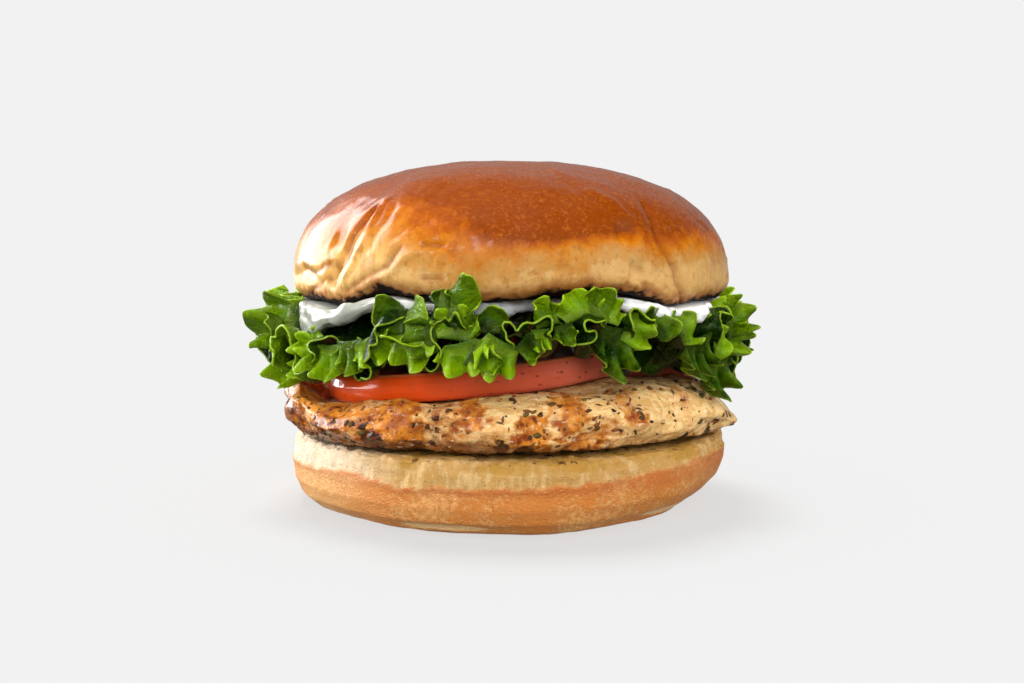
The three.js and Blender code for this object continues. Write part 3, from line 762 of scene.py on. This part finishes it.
def makeBreast():
    piece, angle, along = roundBlank("grilled_breast", breast["segments"], breast["rings"])
    crowd = [0.12, 0.2, 1, 1.1, 1.3, 1.3, 1.3, 1.2, 1.1, 1, 0.8, 0.25]
    share, level = readOutline(breast["rows"], along, *breast["about"], crowd, 0.012)
    level = np.clip(level, 0, 1)
    writePoints(piece, breastPoint(angle, share, level))

    points = readPoints(piece)
    turn = np.degrees(angle)
    fibre = points @ np.array([[0.9, -0.35, 0], [0.35, 0.9, 0.1], [0, -0.1, 1]])  # the grain runs askew
    relief = 0.5 * rough(points, 9, 1, 2) + 0.22 * rough(points, 3.6, 2, 3)
    relief += 0.12 * rough(fibre, 1.3, 3, 3, (4.5, 1, 1))
    creased = 1 - np.abs(rough(fibre, 5.5, 4, 2, (2.6, 1, 1)))
    relief -= 0.3 * smoothStep(creased, 0.88, 1.0)
    wander = 0.45 * rough(points, 3, 5, 3)
    burnt = spots(turn, level, share, breast["char"], wander)
    seared = spots(turn, level, share, breast["seared"], wander)
    relief += burnt * (0.3 * rough(points, 1.2, 6, 2) - 0.15)
    torn = bell(level - 0.04, 0.1) * smoothStep(share, 0.86, 0.95)
    relief += torn * 0.5 * rough(points, 1.8, 7, 3)
    relief = np.where(level < 0.01, np.minimum(relief, 0) * smoothStep(share, 0.5, 0.8), relief - 0.15)
    push(piece, relief)
    writePoints(piece, clearOfSlices(readPoints(piece), 0.3))
    keepIn(piece, *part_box("chicken_breast"))
    paint(piece, "burnt", burnt)
    paint(piece, "seared", seared)
    paint(piece, "level", level)
    return piece


def meatFinish():
    meat = Finish("grilled meat", **{
        "IOR": 1.45, "Coat Roughness": 0.15, "Coat IOR": 1.45, "Specular IOR Level": 0.6,
        "Subsurface Weight": 0.2, "Subsurface Scale": 0.004, "Subsurface Radius": (1.0, 0.5, 0.25)})
    burnt, seared, level = meat.read("burnt"), meat.read("seared"), meat.read("level")
    grain = meat.cloud(1.5, 4, 0.6, (3, 1, 1.2), warp=0.6)
    blotch = meat.cloud(6, 4, 0.6) - 0.5
    fine = meat.cloud(1.6, 4, 0.65) - 0.5
    look = meat.ramp(grain, [
        (0.28, (224, 178, 112)), (0.74, (210, 154, 86)), (0.5, (234, 196, 134))])
    sides = meat.axis(0)
    toLeft = meat.step(sides, 0.026, -0.022)
    golden = meat.step(seared + blotch * 1.7 + fine * 0.8 + toLeft * 0.6, 0.3, 0.85)
    fried = meat.blend(meat.step(meat.cloud(3, 3), 0.35, 0.65), (208, 126, 22), (150, 64, 4))
    look = meat.blend(golden * 0.92, look, fried)
    deep = meat.step(seared + fine * 2.2 + blotch * 1.6 + toLeft * 0.12 - level * 0.1, 0.84, 1.2)
    look = meat.blend(deep * 0.8, look, (104, 34, 4))
    freckles = meat.step(meat.cells(2.1), 0.24, 0.1) * meat.step(meat.cloud(7, 2, shift=2.0), 0.42, 0.6)
    look = meat.blend(freckles * 0.65, look, (150, 70, 26))
    black = meat.step(burnt + fine * 1.3 + blotch * 0.5, 0.42, 0.74)
    look = meat.blend(black * 0.93, look, (34, 16, 14))
    edge = meat.step(level + fine * 0.6 - toLeft * 0.2, 0.16, -0.02)
    look = meat.blend(edge * 0.75, look, (104, 46, 16))
    # The left end of the meat is painted lighter orange: painted light
    paintedTipLight = meat.step(sides, -0.042, -0.05) * meat.step(level, 0.6, 0.9)
    look = meat.blend(paintedTipLight * 0.8, look, (246, 162, 60))
    relief = meat.bump(grain, 0.24)
    relief = meat.bump(meat.cloud(0.5, 3, 0.6), 0.12, relief)
    # Painted glints: small pale patches that stand in for highlights
    shine = meat.step(meat.cloud(0.9, 3, 0.6, (2.2, 1, 1), shift=6.0), 0.61, 0.68) * (1 - black)
    look = meat.blend(shine * 0.4, look, (255, 240, 214))
    wet = meat.step(meat.cloud(5, 3, shift=4.0) + golden * 0.12, 0.34, 0.56)
    return meat.join(Base_Color=look, Normal=relief, Roughness=0.4 - wet * 0.22, Coat_Weight=0.08 + wet * 0.2)


# Seasoning: the flakes of the solid, and the finer dust between them
seasoning = {
    "count": 56, "size": (0.9, 1.7), "dust": 460, "dustSize": (0.18, 1.0), "dustAbove": 20.2,
    "gathered": [  # turn and width of the places where most of the dust lies
        (-60, 4), (-50, 3), (-38, 4), (-20, 3), (-9, 4), (3, 3), (12, 4), (24, 4), (35, 4), (50, 6), (67, 5)],
}


def underSlice(x, y, margin):
    slices = (tomato["front"], tomato["back"])
    return any(math.hypot(x - s["x"], y - s["y"]) < s["radius"] + margin for s in slices)


def seededDraw(seed):
    state = float(seed)
    while True:
        state = math.fmod(state * 1103515245.0 + 12345.0, 2147483648.0)
        yield state / 2147483648.0


def flakePlaces():
    draw = seededDraw(7)
    places = []
    rows = breast["rows"]
    while len(places) < seasoning["count"]:
        angle = (next(draw) * 2 - 1) * math.pi
        row = 4 + next(draw) * 5
        size = between(seasoning["size"][0], seasoning["size"][1], next(draw) ** 2)
        spin = next(draw) * math.pi
        low = int(row)
        start = breastPoint(np.float64(angle), *rows[low])
        end = breastPoint(np.float64(angle), *rows[low + 1])
        spot = between(start, end, row - low)
        if not underSlice(spot[0], spot[1], 2.5):
            places.append((spot, angle, end - start, size, spin))
    return places


def makeFlakes(meatPiece):
    # One small ball is made, then copied; each copy is dented, turned and squashed its own way
    bpy.ops.mesh.primitive_ico_sphere_add(subdivisions=1, radius=1, location=(0, 0, 0))
    blank = bpy.context.object
    points = readPoints(blank, 1)
    faces = [tuple(face.vertices) for face in blank.data.polygons]
    bpy.data.objects.remove(blank)
    draw = random.Random(11)
    surface = readPoints(meatPiece)
    normals = readNormals(meatPiece)
    spots = []
    for spot, angle, along, size, spin in flakePlaces():
        around = np.array([math.cos(angle), math.sin(angle), 0])
        outward = np.cross(around, along / np.linalg.norm(along))
        nearest = np.argmin(((surface - spot) ** 2).sum(1))
        spots.append((surface[nearest], outward, size * 0.72, spin))
    open_ = np.array([not underSlice(p[0], p[1], 0.8) for p in surface])
    turns = np.degrees(np.arctan2(surface[:, 0], -surface[:, 1]))
    usable = np.where(open_ & (surface[:, 2] > seasoning["dustAbove"]))[0]
    for i in range(seasoning["dust"]):
        if i % 9:  # the ninth ones lie anywhere
            at, width = draw.choice(seasoning["gathered"])
            wanted = draw.gauss(at, width)
            pool = usable[np.abs(turnBetween(turns[usable], wanted)) < 2]
        else:
            pool = usable
        chosen = pool[draw.randrange(len(pool))]
        size = between(*seasoning["dustSize"], draw.random() ** 2)
        spots.append((surface[chosen], normals[chosen], size, draw.random() * math.pi))
    allPoints, allFaces, shade = [], [], []
    for spot, outward, size, spin in spots:
        up = Vector(outward).normalized()
        turned = up.to_track_quat("Z", "Y").to_matrix()
        jitter = np.array([[draw.uniform(0.45, 1.45) for _ in range(3)] for _ in points])
        squash = np.array([1, draw.uniform(0.3, 0.95), draw.uniform(0.2, 0.35)])
        local = points * jitter * squash * size
        c, s = math.cos(spin), math.sin(spin)
        local = local @ np.array([[c, s, 0], [-s, c, 0], [0, 0, 1]])
        placed = local @ np.array(turned).T + spot + np.array(up) * size * 0.08
        allFaces += [tuple(v + len(allPoints) for v in face) for face in faces]
        allPoints += [tuple(p * mm) for p in placed]
        shade += [draw.random()] * len(points)
    mesh = bpy.data.meshes.new("seasoning")
    mesh.from_pydata(allPoints, [], allFaces)
    piece = bpy.data.objects.new("seasoning", mesh)
    bpy.context.scene.collection.objects.link(piece)
    paint(piece, "shade", shade)
    return piece


def flakeFinish():
    flake = Finish("pepper and herbs", **{"IOR": 1.45, "Specular IOR Level": 0.4, "Roughness": 0.5})
    look = flake.ramp(flake.read("shade"), [
        (0.0, (44, 28, 22)), (1.0, (176, 108, 50)), (0.25, (80, 50, 26)),
        (0.5, (104, 88, 42)), (0.75, (140, 74, 32))])
    return flake.join(Base_Color=look, Normal=flake.bump(flake.cloud(0.4, 2), 0.1))


breastPiece = makeBreast()
flakes = makeFlakes(breastPiece)
finishPiece(breastPiece, "chicken_breast", meatFinish())
finishPiece(flakes, None, flakeFinish())


# Mayonnaise
mayo = {
    "reach": [49.5, 50, 53, 53.4, 51, 50, 51, 52, 51, 53.4, 53.8, 53.2], "thickness": 2.6, "gap": 0.3,
    "drips": [(-62, 11, 6.5), (-40, 7, 2.4), (-5, 5, 1.2), (35, 6, 2.2), (52, 12, 2.4), (150, 10, 2)],
    "edges": [  # turn, width, further out
        (13, 11, -7), (-18, 12, 4.2), (-50, 17, 4), (35, 9, 4.2), (56, 14, 3.4)],
    "rows": [(0, 1), (0.6, 1), (0.86, 1), (0.94, 1), (0.985, 0.8), (1, 0.45), (0.985, 0.12), (0.95, 0),
             (0.84, 0), (0.7, 0), (0, 0)],
    "segments": 320, "rings": 64, "about": (52, 4),  # radius and thickness, to space the rings
}


def mayoDrop(angle, share):
    ripple = 0.5 * np.sin(5 * angle + 1) + 0.35 * np.sin(11 * angle)
    hanging = ripple + waves(mayo["drips"], np.degrees(angle))
    return mayo["thickness"] + hanging * smoothStep(share, 0.86, 0.97)


def makeMayo():
    piece, angle, along = roundBlank("mayonnaise_layer", mayo["segments"], mayo["rings"])
    crowd = [0.1, 0.5, 1.2, 1.5, 3, 3, 3, 1.5, 0.6, 0.1]
    share, level = readOutline(mayo["rows"], along, *mayo["about"], crowd, 0.03)
    reach = roundCurve(mayo["reach"], angle) + 0.6 * np.sin(8 * angle + 1)
    reach += waves(mayo["edges"], np.degrees(angle)) * smoothStep(share, 0.5, 1)
    out = share * reach
    x, y = out * np.sin(angle), -out * np.cos(angle)
    z = crownBase(x, y) - mayo["gap"] - np.clip(level, 0, 1) * mayoDrop(angle, share)
    writePoints(piece, np.stack([x, y, z], 1))
    points = readPoints(piece)
    edge = smoothStep(share, 0.8, 0.95)
    relief = 1.1 * rough(points, 5, 1, 2) + 0.35 * rough(points, 2.2, 2, 2)
    push(piece, relief * edge * (level > 0.05) - 0.1)
    keepIn(piece, *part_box("mayonnaise"))
    return piece


def sauceFinish():
    sauce = Finish("mayonnaise", **{
        "IOR": 1.47, "Coat Roughness": 0.08, "Roughness": 0.3,
        "Subsurface Weight": 0.8, "Subsurface Scale": 0.004, "Subsurface Radius": (1.0, 0.95, 0.8)})
    across = sauce.axis(0)
    shaded = sauce.blend(sauce.cloud(3, 3), (138, 141, 132), (176, 177, 168))
    look = sauce.blend(sauce.step(across, -0.012, -0.034), (250, 249, 242), shaded)
    grey = sauce.step(sauce.cells(7), 0.1, 0.03)
    look = sauce.blend(grey * 0.4, look, (120, 104, 84))
    relief = sauce.bump(sauce.cloud(2.4, 2), 0.2)
    return sauce.join(Base_Color=look, Normal=relief, Coat_Weight=0.35 + grey * 0.3)


finishPiece(makeMayo(), "mayonnaise", sauceFinish())


# Lettuce
lettuce = {
    "leaves": {
        "front": {"from": -42, "to": 46, "lobes": 5.8, "phase": 1.9, "reach": 59.5, "flare": 2},
        "right": {"from": 48, "to": 122, "lobes": 4.6, "phase": 2.1, "reach": 60, "flare": 2.2},
        "back": {"from": 124, "to": 212, "lobes": 5.6, "phase": 4, "reach": 59.5, "flare": 2},
        "left": {"from": 214, "to": 316, "lobes": 6.2, "phase": 1.2, "reach": 62.5, "flare": 2.4},
    },
    "inner": 20, "skew": 5, "margin": 1.1, "thick": 0.42, "drawnIn": 2.2,
    "grid": (280, 32), "lobeGrid": (36, 14), "ruffleGrid": (120, 12),
    "bottom": (37, [(38, 26, 4), (86, 22, -9), (-80, 36, -4.5), (-20, 12, 4), (10, 14, 6.5), (42, 15, 7.5)]),
    "top": (50.5, [(-9, 10, 5), (42, 18, 2), (-45, 22, -4.5), (-86, 30, -2.5), (180, 50, 4)]),
}


def leafFloor(x, y, turn):
    level, bumps = lettuce["bottom"]
    onBreast = breastTop(x, y) + 0.7 + lettuce["margin"]
    outside = smoothStep(np.hypot(x, y) + 8 * bell(turn - 24, 44), 50, 59)
    clear = between(onBreast, level + waves(bumps, turn), outside)
    floor = clear
    for slice in (tomato["front"], tomato["back"]):
        away = np.hypot(x - slice["x"], y - slice["y"])
        over = 1 - smoothStep(away, slice["radius"] + 3, slice["radius"] + 7.5)
        top = slicePlane(slice, x, y) + 0.5 * tomato["thickness"] + 0.4 + lettuce["margin"]
        floor = np.maximum(floor, between(clear, top, over))
    return floor


def leafCeiling(x, y, turn):
    level, bumps = lettuce["top"]
    radius = np.hypot(x, y)
    underMayo = crownBase(x, y) - mayo["gap"] - mayoDrop(np.radians(turn), radius / 49) - lettuce["margin"]
    return between(underMayo, level + waves(bumps, turn), smoothStep(radius, 56.2, 59.5))


def leafPoint(leaf, u, v, stretch=0.0):
    kind = leaf["phase"]
    sway = 0.8 * np.sin(5.3 * u + kind) + 0.5 * np.sin(11.7 * u + 2 * kind)
    phase = 2 * math.pi * leaf["lobes"] * u + kind + sway + lettuce["skew"] * (1 - v)
    grown = smoothStep(v, 0.05, 0.7)
    atMargin = smoothStep(v, 0.4, 1)
    inside = smoothStep(u, 0, 0.07) * smoothStep(1 - u, 0, 0.07)
    strength = 0.84 + 0.16 * np.sin(7.9 * u + 3 * kind)
    overhang = (1.3 * np.sin(0.5 * phase + kind) - 1.6 * np.sin(2 * phase)) * atMargin * inside
    wave = np.sin(phase)
    edge = leaf["reach"] + leaf["flare"] * np.sin(phase + 0.8) + 1.1 * np.sin(9.1 * u + kind) + stretch
    radius = between(lettuce["inner"], between(50, edge, 0.35 + 0.65 * inside), v)
    angle = np.radians(between(leaf["from"], leaf["to"], u)) + overhang / radius
    x, y = radius * np.sin(angle), -radius * np.cos(angle)
    turn = np.degrees(angle)
    swing = grown * strength * wave * (1.25 - 0.25 * wave * wave)
    z = between(leafFloor(x, y, turn), leafCeiling(x, y, turn), 0.5 + 0.5 * swing)
    return np.stack([x, y, z], 1), inside


# The lobes of the frilled margin that show one by one, each a small fan on its leaf:
# turn, reach and height of its root, the way its face looks (turn, tilt),
# aim in that face (0 is up, 90 right), length, half spread and number of waves
lobes = [
    (-70, 54, 44.5, -15, 8, -78, 14.5, 36, 2), (-66, 55.5, 41, -25, -30, -105, 8, 34, 2),
    (-67, 55, 40, -30, 0, -142, 12.5, 38, 2), (-62, 56, 40, -50, 0, -172, 7.5, 50, 2),
    (-53, 56.5, 44, -40, 0, -150, 9, 60, 3), (-47, 57, 43.5, -25, 5, 176, 9.5, 60, 4),
    (-52, 56, 42, -20, 20, -80, 7, 60, 3),
    (-40, 57, 45, -25, -5, 172, 8.5, 55, 4), (-35, 56.5, 46, -10, 0, 150, 8, 60, 3),
    (-27, 56.5, 50.5, -20, 38, 110, 9.5, 75, 1.2), (-24, 56.5, 50.5, -20, 38, -95, 9, 60, 1.2),
    (-23, 57.5, 46.5, -15, -10, 165, 8, 75, 3), (-15.5, 57.5, 52, -10, 14, 50, 12, 34, 1.5),
    (-15, 57, 50.5, -20, 8, -4, 8, 28, 2), (-12.5, 57.5, 46, -8, 12, 8, 9, 60, 3),
    (-16, 57.5, 47, -20, 0, -95, 9, 55, 3), (-11, 58, 46, -5, -15, 165, 8.5, 70, 3),
    (-9, 58, 44, -5, -5, 115, 8.5, 42, 2),
    (-4, 56, 47.5, 0, 5, 5, 7, 60, 1.5), (-1, 57.5, 46.5, 5, -8, -152, 10, 48, 3),
    (2.5, 57.5, 46.5, 5, -12, 125, 6.5, 45, 2), (7, 57, 49, 10, -5, 176, 5.5, 34, 2),
    (9, 56.5, 49, 20, 10, -12, 7.5, 34, 2), (12, 57.5, 50, 12, 0, 165, 5.5, 48, 2.5),
    (16, 57, 50.5, 15, 12, -20, 7.5, 50, 2), (19, 57, 50.5, 15, 12, 28, 8.5, 48, 2),
    (26, 57, 49, 20, -5, -172, 12.5, 36, 3), (27, 57, 49, 22, 0, 110, 8.5, 45, 2),
    (35, 56.5, 46.5, 28, 20, 44, 7.5, 72, 1.5), (23, 57, 49.5, 24, 20, 20, 6, 50, 2),
    (43, 56.5, 46, 35, 25, 66, 8, 62, 2), (51, 57, 45, 35, -10, 170, 11, 38, 4),
    (57, 57.5, 42.5, 40, 10, 90, 6, 80, 2), (66, 55.5, 45.5, 25, 10, 62, 10.5, 50, 3),
    (58, 57, 46, 30, 5, 20, 6, 60, 3),
    (68, 55, 42, 30, -5, 95, 9.5, 48, 3), (62, 56.5, 39.5, 35, -12, 165, 11.5, 44, 3),
    (62, 54, 50, 30, 40, 70, 5, 25, 1),
]
draw = random.Random(21)
for turn in range(76, 286, 6):  # the same kind of lobes on round the sides and back
    down = draw.random() < 0.5
    aim = draw.choice((-1, 1)) * draw.uniform(*((120, 178) if down else (5, 75)))
    lobes.append((turn + draw.uniform(-2, 2), draw.uniform(54, 55.8),
                  draw.uniform(*((42, 46) if down else (44, 47.5))), turn + draw.uniform(-25, 25),
                  draw.uniform(-12, 18), aim, draw.uniform(7, 10.5), draw.uniform(36, 66),
                  draw.uniform(1.5, 4)))


def lobePoints(lobe, across, outward, seed):
    turn, reach, height, faces, tilt, aim, length, spread, count = lobe
    faceTurn, faceTilt, aimed = math.radians(faces), math.radians(tilt), math.radians(aim)
    right = np.array([math.cos(faceTurn), math.sin(faceTurn), 0])
    normal = np.array([math.sin(faceTurn) * math.cos(faceTilt), -math.cos(faceTurn) * math.cos(faceTilt),
                       math.sin(faceTilt)])
    up = np.cross(normal, right) * -1
    up = up if up[2] > 0 else -up
    forward = math.sin(aimed) * right + math.cos(aimed) * up
    side = math.cos(aimed) * right - math.sin(aimed) * up
    root = np.array([reach * math.sin(math.radians(turn)), -reach * math.cos(math.radians(turn)), height])
    pointed = 0.1 + 0.35 * (seed * 0.381 % 1)
    notches = np.abs(along1(across * 2.3, seed)) * 0.16 + 0.04 * along1(across * 6.1, seed + 40)
    bend = math.radians(spread) * across
    far = length * outward * (1.1 - notches - pointed * np.abs(across) ** 1.4)
    nearRoot = length * 0.4 * across * (1 - outward) ** 1.5
    ruffle = np.sin(count * math.pi * across + seed * 1.7 + 1.5 * outward)
    ruffle = length * 0.32 * smoothStep(outward, 0.2, 1.1) * ruffle
    crisp = length * 0.05 * smoothStep(outward, 0.6, 1) * np.sin(count * 6.3 * across + seed)
    curl = length * 0.32 * (0.4 + 0.9 * along1(across * 1.3, seed + 80)) * smoothStep(outward, 0.5, 1.05)
    cup = -0.1 * length * across ** 2 * outward
    depth = ruffle + crisp + curl + cup
    shrink = 1 - 0.12 * smoothStep(outward, 0.6, 1)
    return (root + (far * shrink * np.cos(bend))[:, None] * forward + depth[:, None] * normal
            + (far * shrink * np.sin(bend) + nearRoot)[:, None] * side)


def addLobes(leaf):
    # Each lobe is a small grid moulded to its own place
    made = []
    for seed, lobe in enumerate(lobes):
        turn, length = lobe[0], lobe[6]
        if not leaf["from"] <= (turn + 360 if turn < -43 else turn) < leaf["to"] + 2:
            continue
        piece, u, v = flatGrid(*lettuce["lobeGrid"])
        outward = 0.04 + 0.96 * (1 - (0.5 - v) ** 1.3)
        writePoints(piece, lobePoints(lobe, u * 2, outward, seed))
        paint(piece, "toMargin", outward)
        paint(piece, "toEdge", (1 - outward) * length)
        # Each lobe has a tone of its own; those on the left are painted lighter, as painted light
        shade = 0.4 + 0.6 * (seed * 0.618 % 1) + (0.3 if -75 < turn < -45 else 0)
        paint(piece, "lobe", np.full(len(u), shade))
        made.append(piece)
    return made


def innerRuffle(leaf):  # the next fold further in, which closes the gaps between the outer ones
    piece, across, along = flatGrid(*lettuce["ruffleGrid"])
    shifted = {**leaf, "phase": leaf["phase"] + 2.6, "reach": leaf["reach"] - 8, "flare": 1}
    v = 0.55 + 0.45 * (along + 0.5)
    points = leafPoint(shifted, across + 0.5, v)[0]
    radius = np.hypot(points[:, 0], points[:, 1])
    closer = np.minimum(1, 50.5 / np.maximum(radius, 1))
    points[:, :2] *= closer[:, None]
    turn = np.degrees(np.arctan2(points[:, 0], -points[:, 1]))
    overTomato = smoothStep(turn, -24, -12) * smoothStep(-turn, -60, -50)
    points[:, 2] = np.maximum(points[:, 2], between(0, 46.5 + 0.6 * np.sin(turn), overTomato))
    writePoints(piece, points)
    paint(piece, "toMargin", v * 0.9)
    paint(piece, "toEdge", (1 - v) * 30)
    # Painted almost black: painted shade in the gaps between the folds
    paint(piece, "lobe", np.full(len(v), -0.5))
    return piece


def makeLeaf(place, leaf):
    piece, across, along = flatGrid(*lettuce["grid"])
    piece.name = "lettuce_" + place
    u = across + 0.5
    v = 1 - (0.5 - along) ** 1.35  # rows crowd towards the frilled margin
    kind, count = leaf["phase"], leaf["lobes"]
    many = 2 * math.pi * count
    stretch = 1.5 * along1(u * count * 7.5, kind * 9) + 0.9 * along1(u * count * 19, kind * 5)
    stretch = (stretch - lettuce["drawnIn"]) * smoothStep(v, 0.75, 1)
    points, inside = leafPoint(leaf, u, v, stretch)
    writePoints(piece, points)
    # Frills in two finer sizes, which grow towards the margin, and puckers between the veins
    points, normals = readPoints(piece), readNormals(piece)
    swell = along1(u * 9, kind * 3)
    frill = 1.5 * smoothStep(v, 0.55, 1) * np.sin(many * 2.63 * u + 3 * swell + 2.5 * (1 - v) + kind)
    curl = 0.75 * smoothStep(v, 0.78, 1) * np.sin(many * 5.9 * u + 5 * swell + 2 * kind)
    pucker = 0.28 * rough(points, 3.2, 3 + kind, 2)
    writePoints(piece, points + normals * ((frill + curl + pucker) * (0.4 + 0.6 * inside))[:, None])
    paint(piece, "toMargin", v)
    paint(piece, "toEdge", (1 - v) * 38)
    turn = np.degrees(np.arctan2(points[:, 0], -points[:, 1]))
    # The main blade takes the dark green as painted shade, except on the left, which is painted lighter as
    # painted light
    paint(piece, "lobe", 0.7 * bell(turn + 64, 16) * smoothStep(v, 0.7, 0.95))
    selectOnly(piece, *addLobes(leaf), innerRuffle(leaf))
    bpy.ops.object.join()
    useModifier(piece, "SOLIDIFY", thickness=lettuce["thick"] * mm, offset=0, use_even_offset=False)
    keepIn(piece, *cadBox)
    return piece


def leafFinish():
    leaf = Finish("lettuce", **{
        "IOR": 1.45, "Coat Roughness": 0.25, "Coat Weight": 0.12, "Specular IOR Level": 0.5,
        "Subsurface Weight": 0.25, "Subsurface Scale": 0.001, "Subsurface Radius": (0.5, 1.0, 0.1)})
    out, lobe = leaf.read("toMargin"), leaf.read("lobe")
    mottle = leaf.cloud(6, 3) - 0.5
    veins = leaf.cells(3.4, "DISTANCE_TO_EDGE")
    fineVeins = leaf.cells(1.3, "DISTANCE_TO_EDGE")
    # Darker towards the root and lighter at the margin: painted shade in the folds
    bright = leaf.ramp(out + mottle * 0.35, [
        (0.0, (52, 90, 2)), (1.0, (184, 212, 30)), (0.35, (96, 138, 2)),
        (0.7, (132, 168, 2))])
    # The darkest green is painted shade: the main blades and the inner ruffle take it, and lobes of a low
    # tone take it partly
    deep = leaf.ramp(out + mottle * 0.5, [
        (0.35, (8, 26, 2)), (1.0, (50, 98, 2)), (0.7, (12, 38, 0))])
    toneLightAndShade = leaf.step(lobe + mottle * 0.7, 0.3, 1.1)
    look = leaf.blend(toneLightAndShade, deep, bright)
    look = leaf.blend(leaf.step(veins, 0.06, 0.0) * 0.06, look, (140, 176, 40))
    margin = leaf.step(leaf.read("toEdge") + mottle * 0.4, 0.42, 0.05)
    look = leaf.blend(margin * 0.5, look, (172, 204, 40))
    relief = leaf.bump(leaf.step(veins, 0.0, 0.3), 0.12)
    relief = leaf.bump(leaf.step(fineVeins, 0.0, 0.2), 0.08, relief)
    relief = leaf.bump(leaf.cloud(2.8, 2), 0.7, relief)
    return leaf.join(Base_Color=look, Normal=relief, Roughness=0.3 + mottle * 0.25)


green = leafFinish()
for place, leaf in lettuce["leaves"].items():
    finishPiece(makeLeaf(place, leaf), "lettuce_leaf_" + place, green)


# Table and light: white paper, a bright box at the left, soft light from the front, above and right
studio = {
    "paper": 0.887, "room": 0.5, "paperShare": 0.19,
    "shade": 2.5, "shadeFrom": (-0.12, 0.25, 0.95),
}


def makeStudio():
    bpy.ops.mesh.primitive_plane_add(size=60, location=(0, 0, -0.0001))
    floor = bpy.context.object
    floor.name = "ground"
    floor.visible_diffuse = False
    floor.visible_glossy = False
    white = bpy.data.materials.new("white ground")
    white.use_nodes = True
    shader = white.node_tree.nodes["Principled BSDF"]
    share = studio["paperShare"]
    sunLit = studio["shade"] * Vector(studio["shadeFrom"]).normalized().z / math.pi
    shader.inputs["Base Color"].default_value = (share, share, share, 1)
    shader.inputs["Roughness"].default_value = 1
    shader.inputs["Specular IOR Level"].default_value = 0
    shader.inputs["Emission Color"].default_value = (1, 1, 1, 1)
    shader.inputs["Emission Strength"].default_value = studio["paper"] - share * (studio["room"] + sunLit)
    floor.data.materials.append(white)
    world = bpy.data.worlds.new("white room")
    bpy.context.scene.world = world
    world.use_nodes = True
    nodes, links = world.node_tree.nodes, world.node_tree.links

    def add(kind, **settings):
        node = nodes.new(kind)
        for key, value in settings.items():
            setattr(node, key, value)
        return node

    # The camera sees the room as white as the paper; reflections see light behind and dark elsewhere
    path, place = add("ShaderNodeLightPath"), add("ShaderNodeTexCoord")
    split, behind = add("ShaderNodeSeparateXYZ"), add("ShaderNodeMapRange", interpolation_type="SMOOTHSTEP")
    links.new(place.outputs["Generated"], split.inputs[0])
    links.new(split.outputs["Y"], behind.inputs["Value"])
    behind.inputs["From Min"].default_value = 0.45
    behind.inputs["From Max"].default_value = 0.9
    behind.inputs["To Max"].default_value = 0.3
    shiny, seen = add("ShaderNodeMix"), add("ShaderNodeMix")
    shiny.inputs["A"].default_value = studio["room"]
    links.new(path.outputs["Is Glossy Ray"], shiny.inputs["Factor"])
    links.new(behind.outputs["Result"], shiny.inputs["B"])
    links.new(path.outputs["Is Camera Ray"], seen.inputs["Factor"])
    links.new(shiny.outputs["Result"], seen.inputs["A"])
    seen.inputs["B"].default_value = studio["paper"]
    links.new(seen.outputs["Result"], nodes["Background"].inputs["Strength"])
    nodes["Background"].inputs["Color"].default_value = (1, 1, 1, 1)
    skipFloor = bpy.data.collections.new("not the ground")
    skipFloor.objects.link(floor)
    skipFloor.collection_objects[0].light_linking.link_state = "EXCLUDE"
    onlyFloor = bpy.data.collections.new("ground alone")
    onlyFloor.objects.link(floor)

    def box(name, start, aim, size, power, shine=True):
        data = bpy.data.lights.new(name, "AREA")
        data.shape, data.size, data.size_y, data.energy = "RECTANGLE", size[0], size[1], power
        lamp = hang(name, data, start, aim)
        lamp.light_linking.receiver_collection = skipFloor
        lamp.visible_glossy = shine

    box("left box", (-0.75, 0.3, 0.4), (0, 0, 0.3), (1.15, 0.86), 19)
    box("front fill", (-0.1, -0.8, 0.5), (0, 0, 0.05), (1.0, 0.8), 8.5, False)
    box("front glint", (-0.45, -0.7, 0.6), (0, 0, 0.04), (0.14, 0.14), 0.7)
    box("top fill", (-0.1, 0.1, 0.9), (0, 0, 0.05), (0.6, 0.6), 5, False)
    box("right box", (0.8, -0.25, 0.3), (0, 0, 0.05), (0.6, 0.6), 4, False)
    sun = bpy.data.lights.new("ground shade", "SUN")
    sun.energy, sun.angle = studio["shade"], math.radians(24)
    lamp = hang("ground shade", sun, studio["shadeFrom"], (0, 0, 0))
    lamp.light_linking.receiver_collection = onlyFloor
    bpy.context.scene.view_settings.view_transform = "Standard"


makeStudio()
print("all pieces ready")
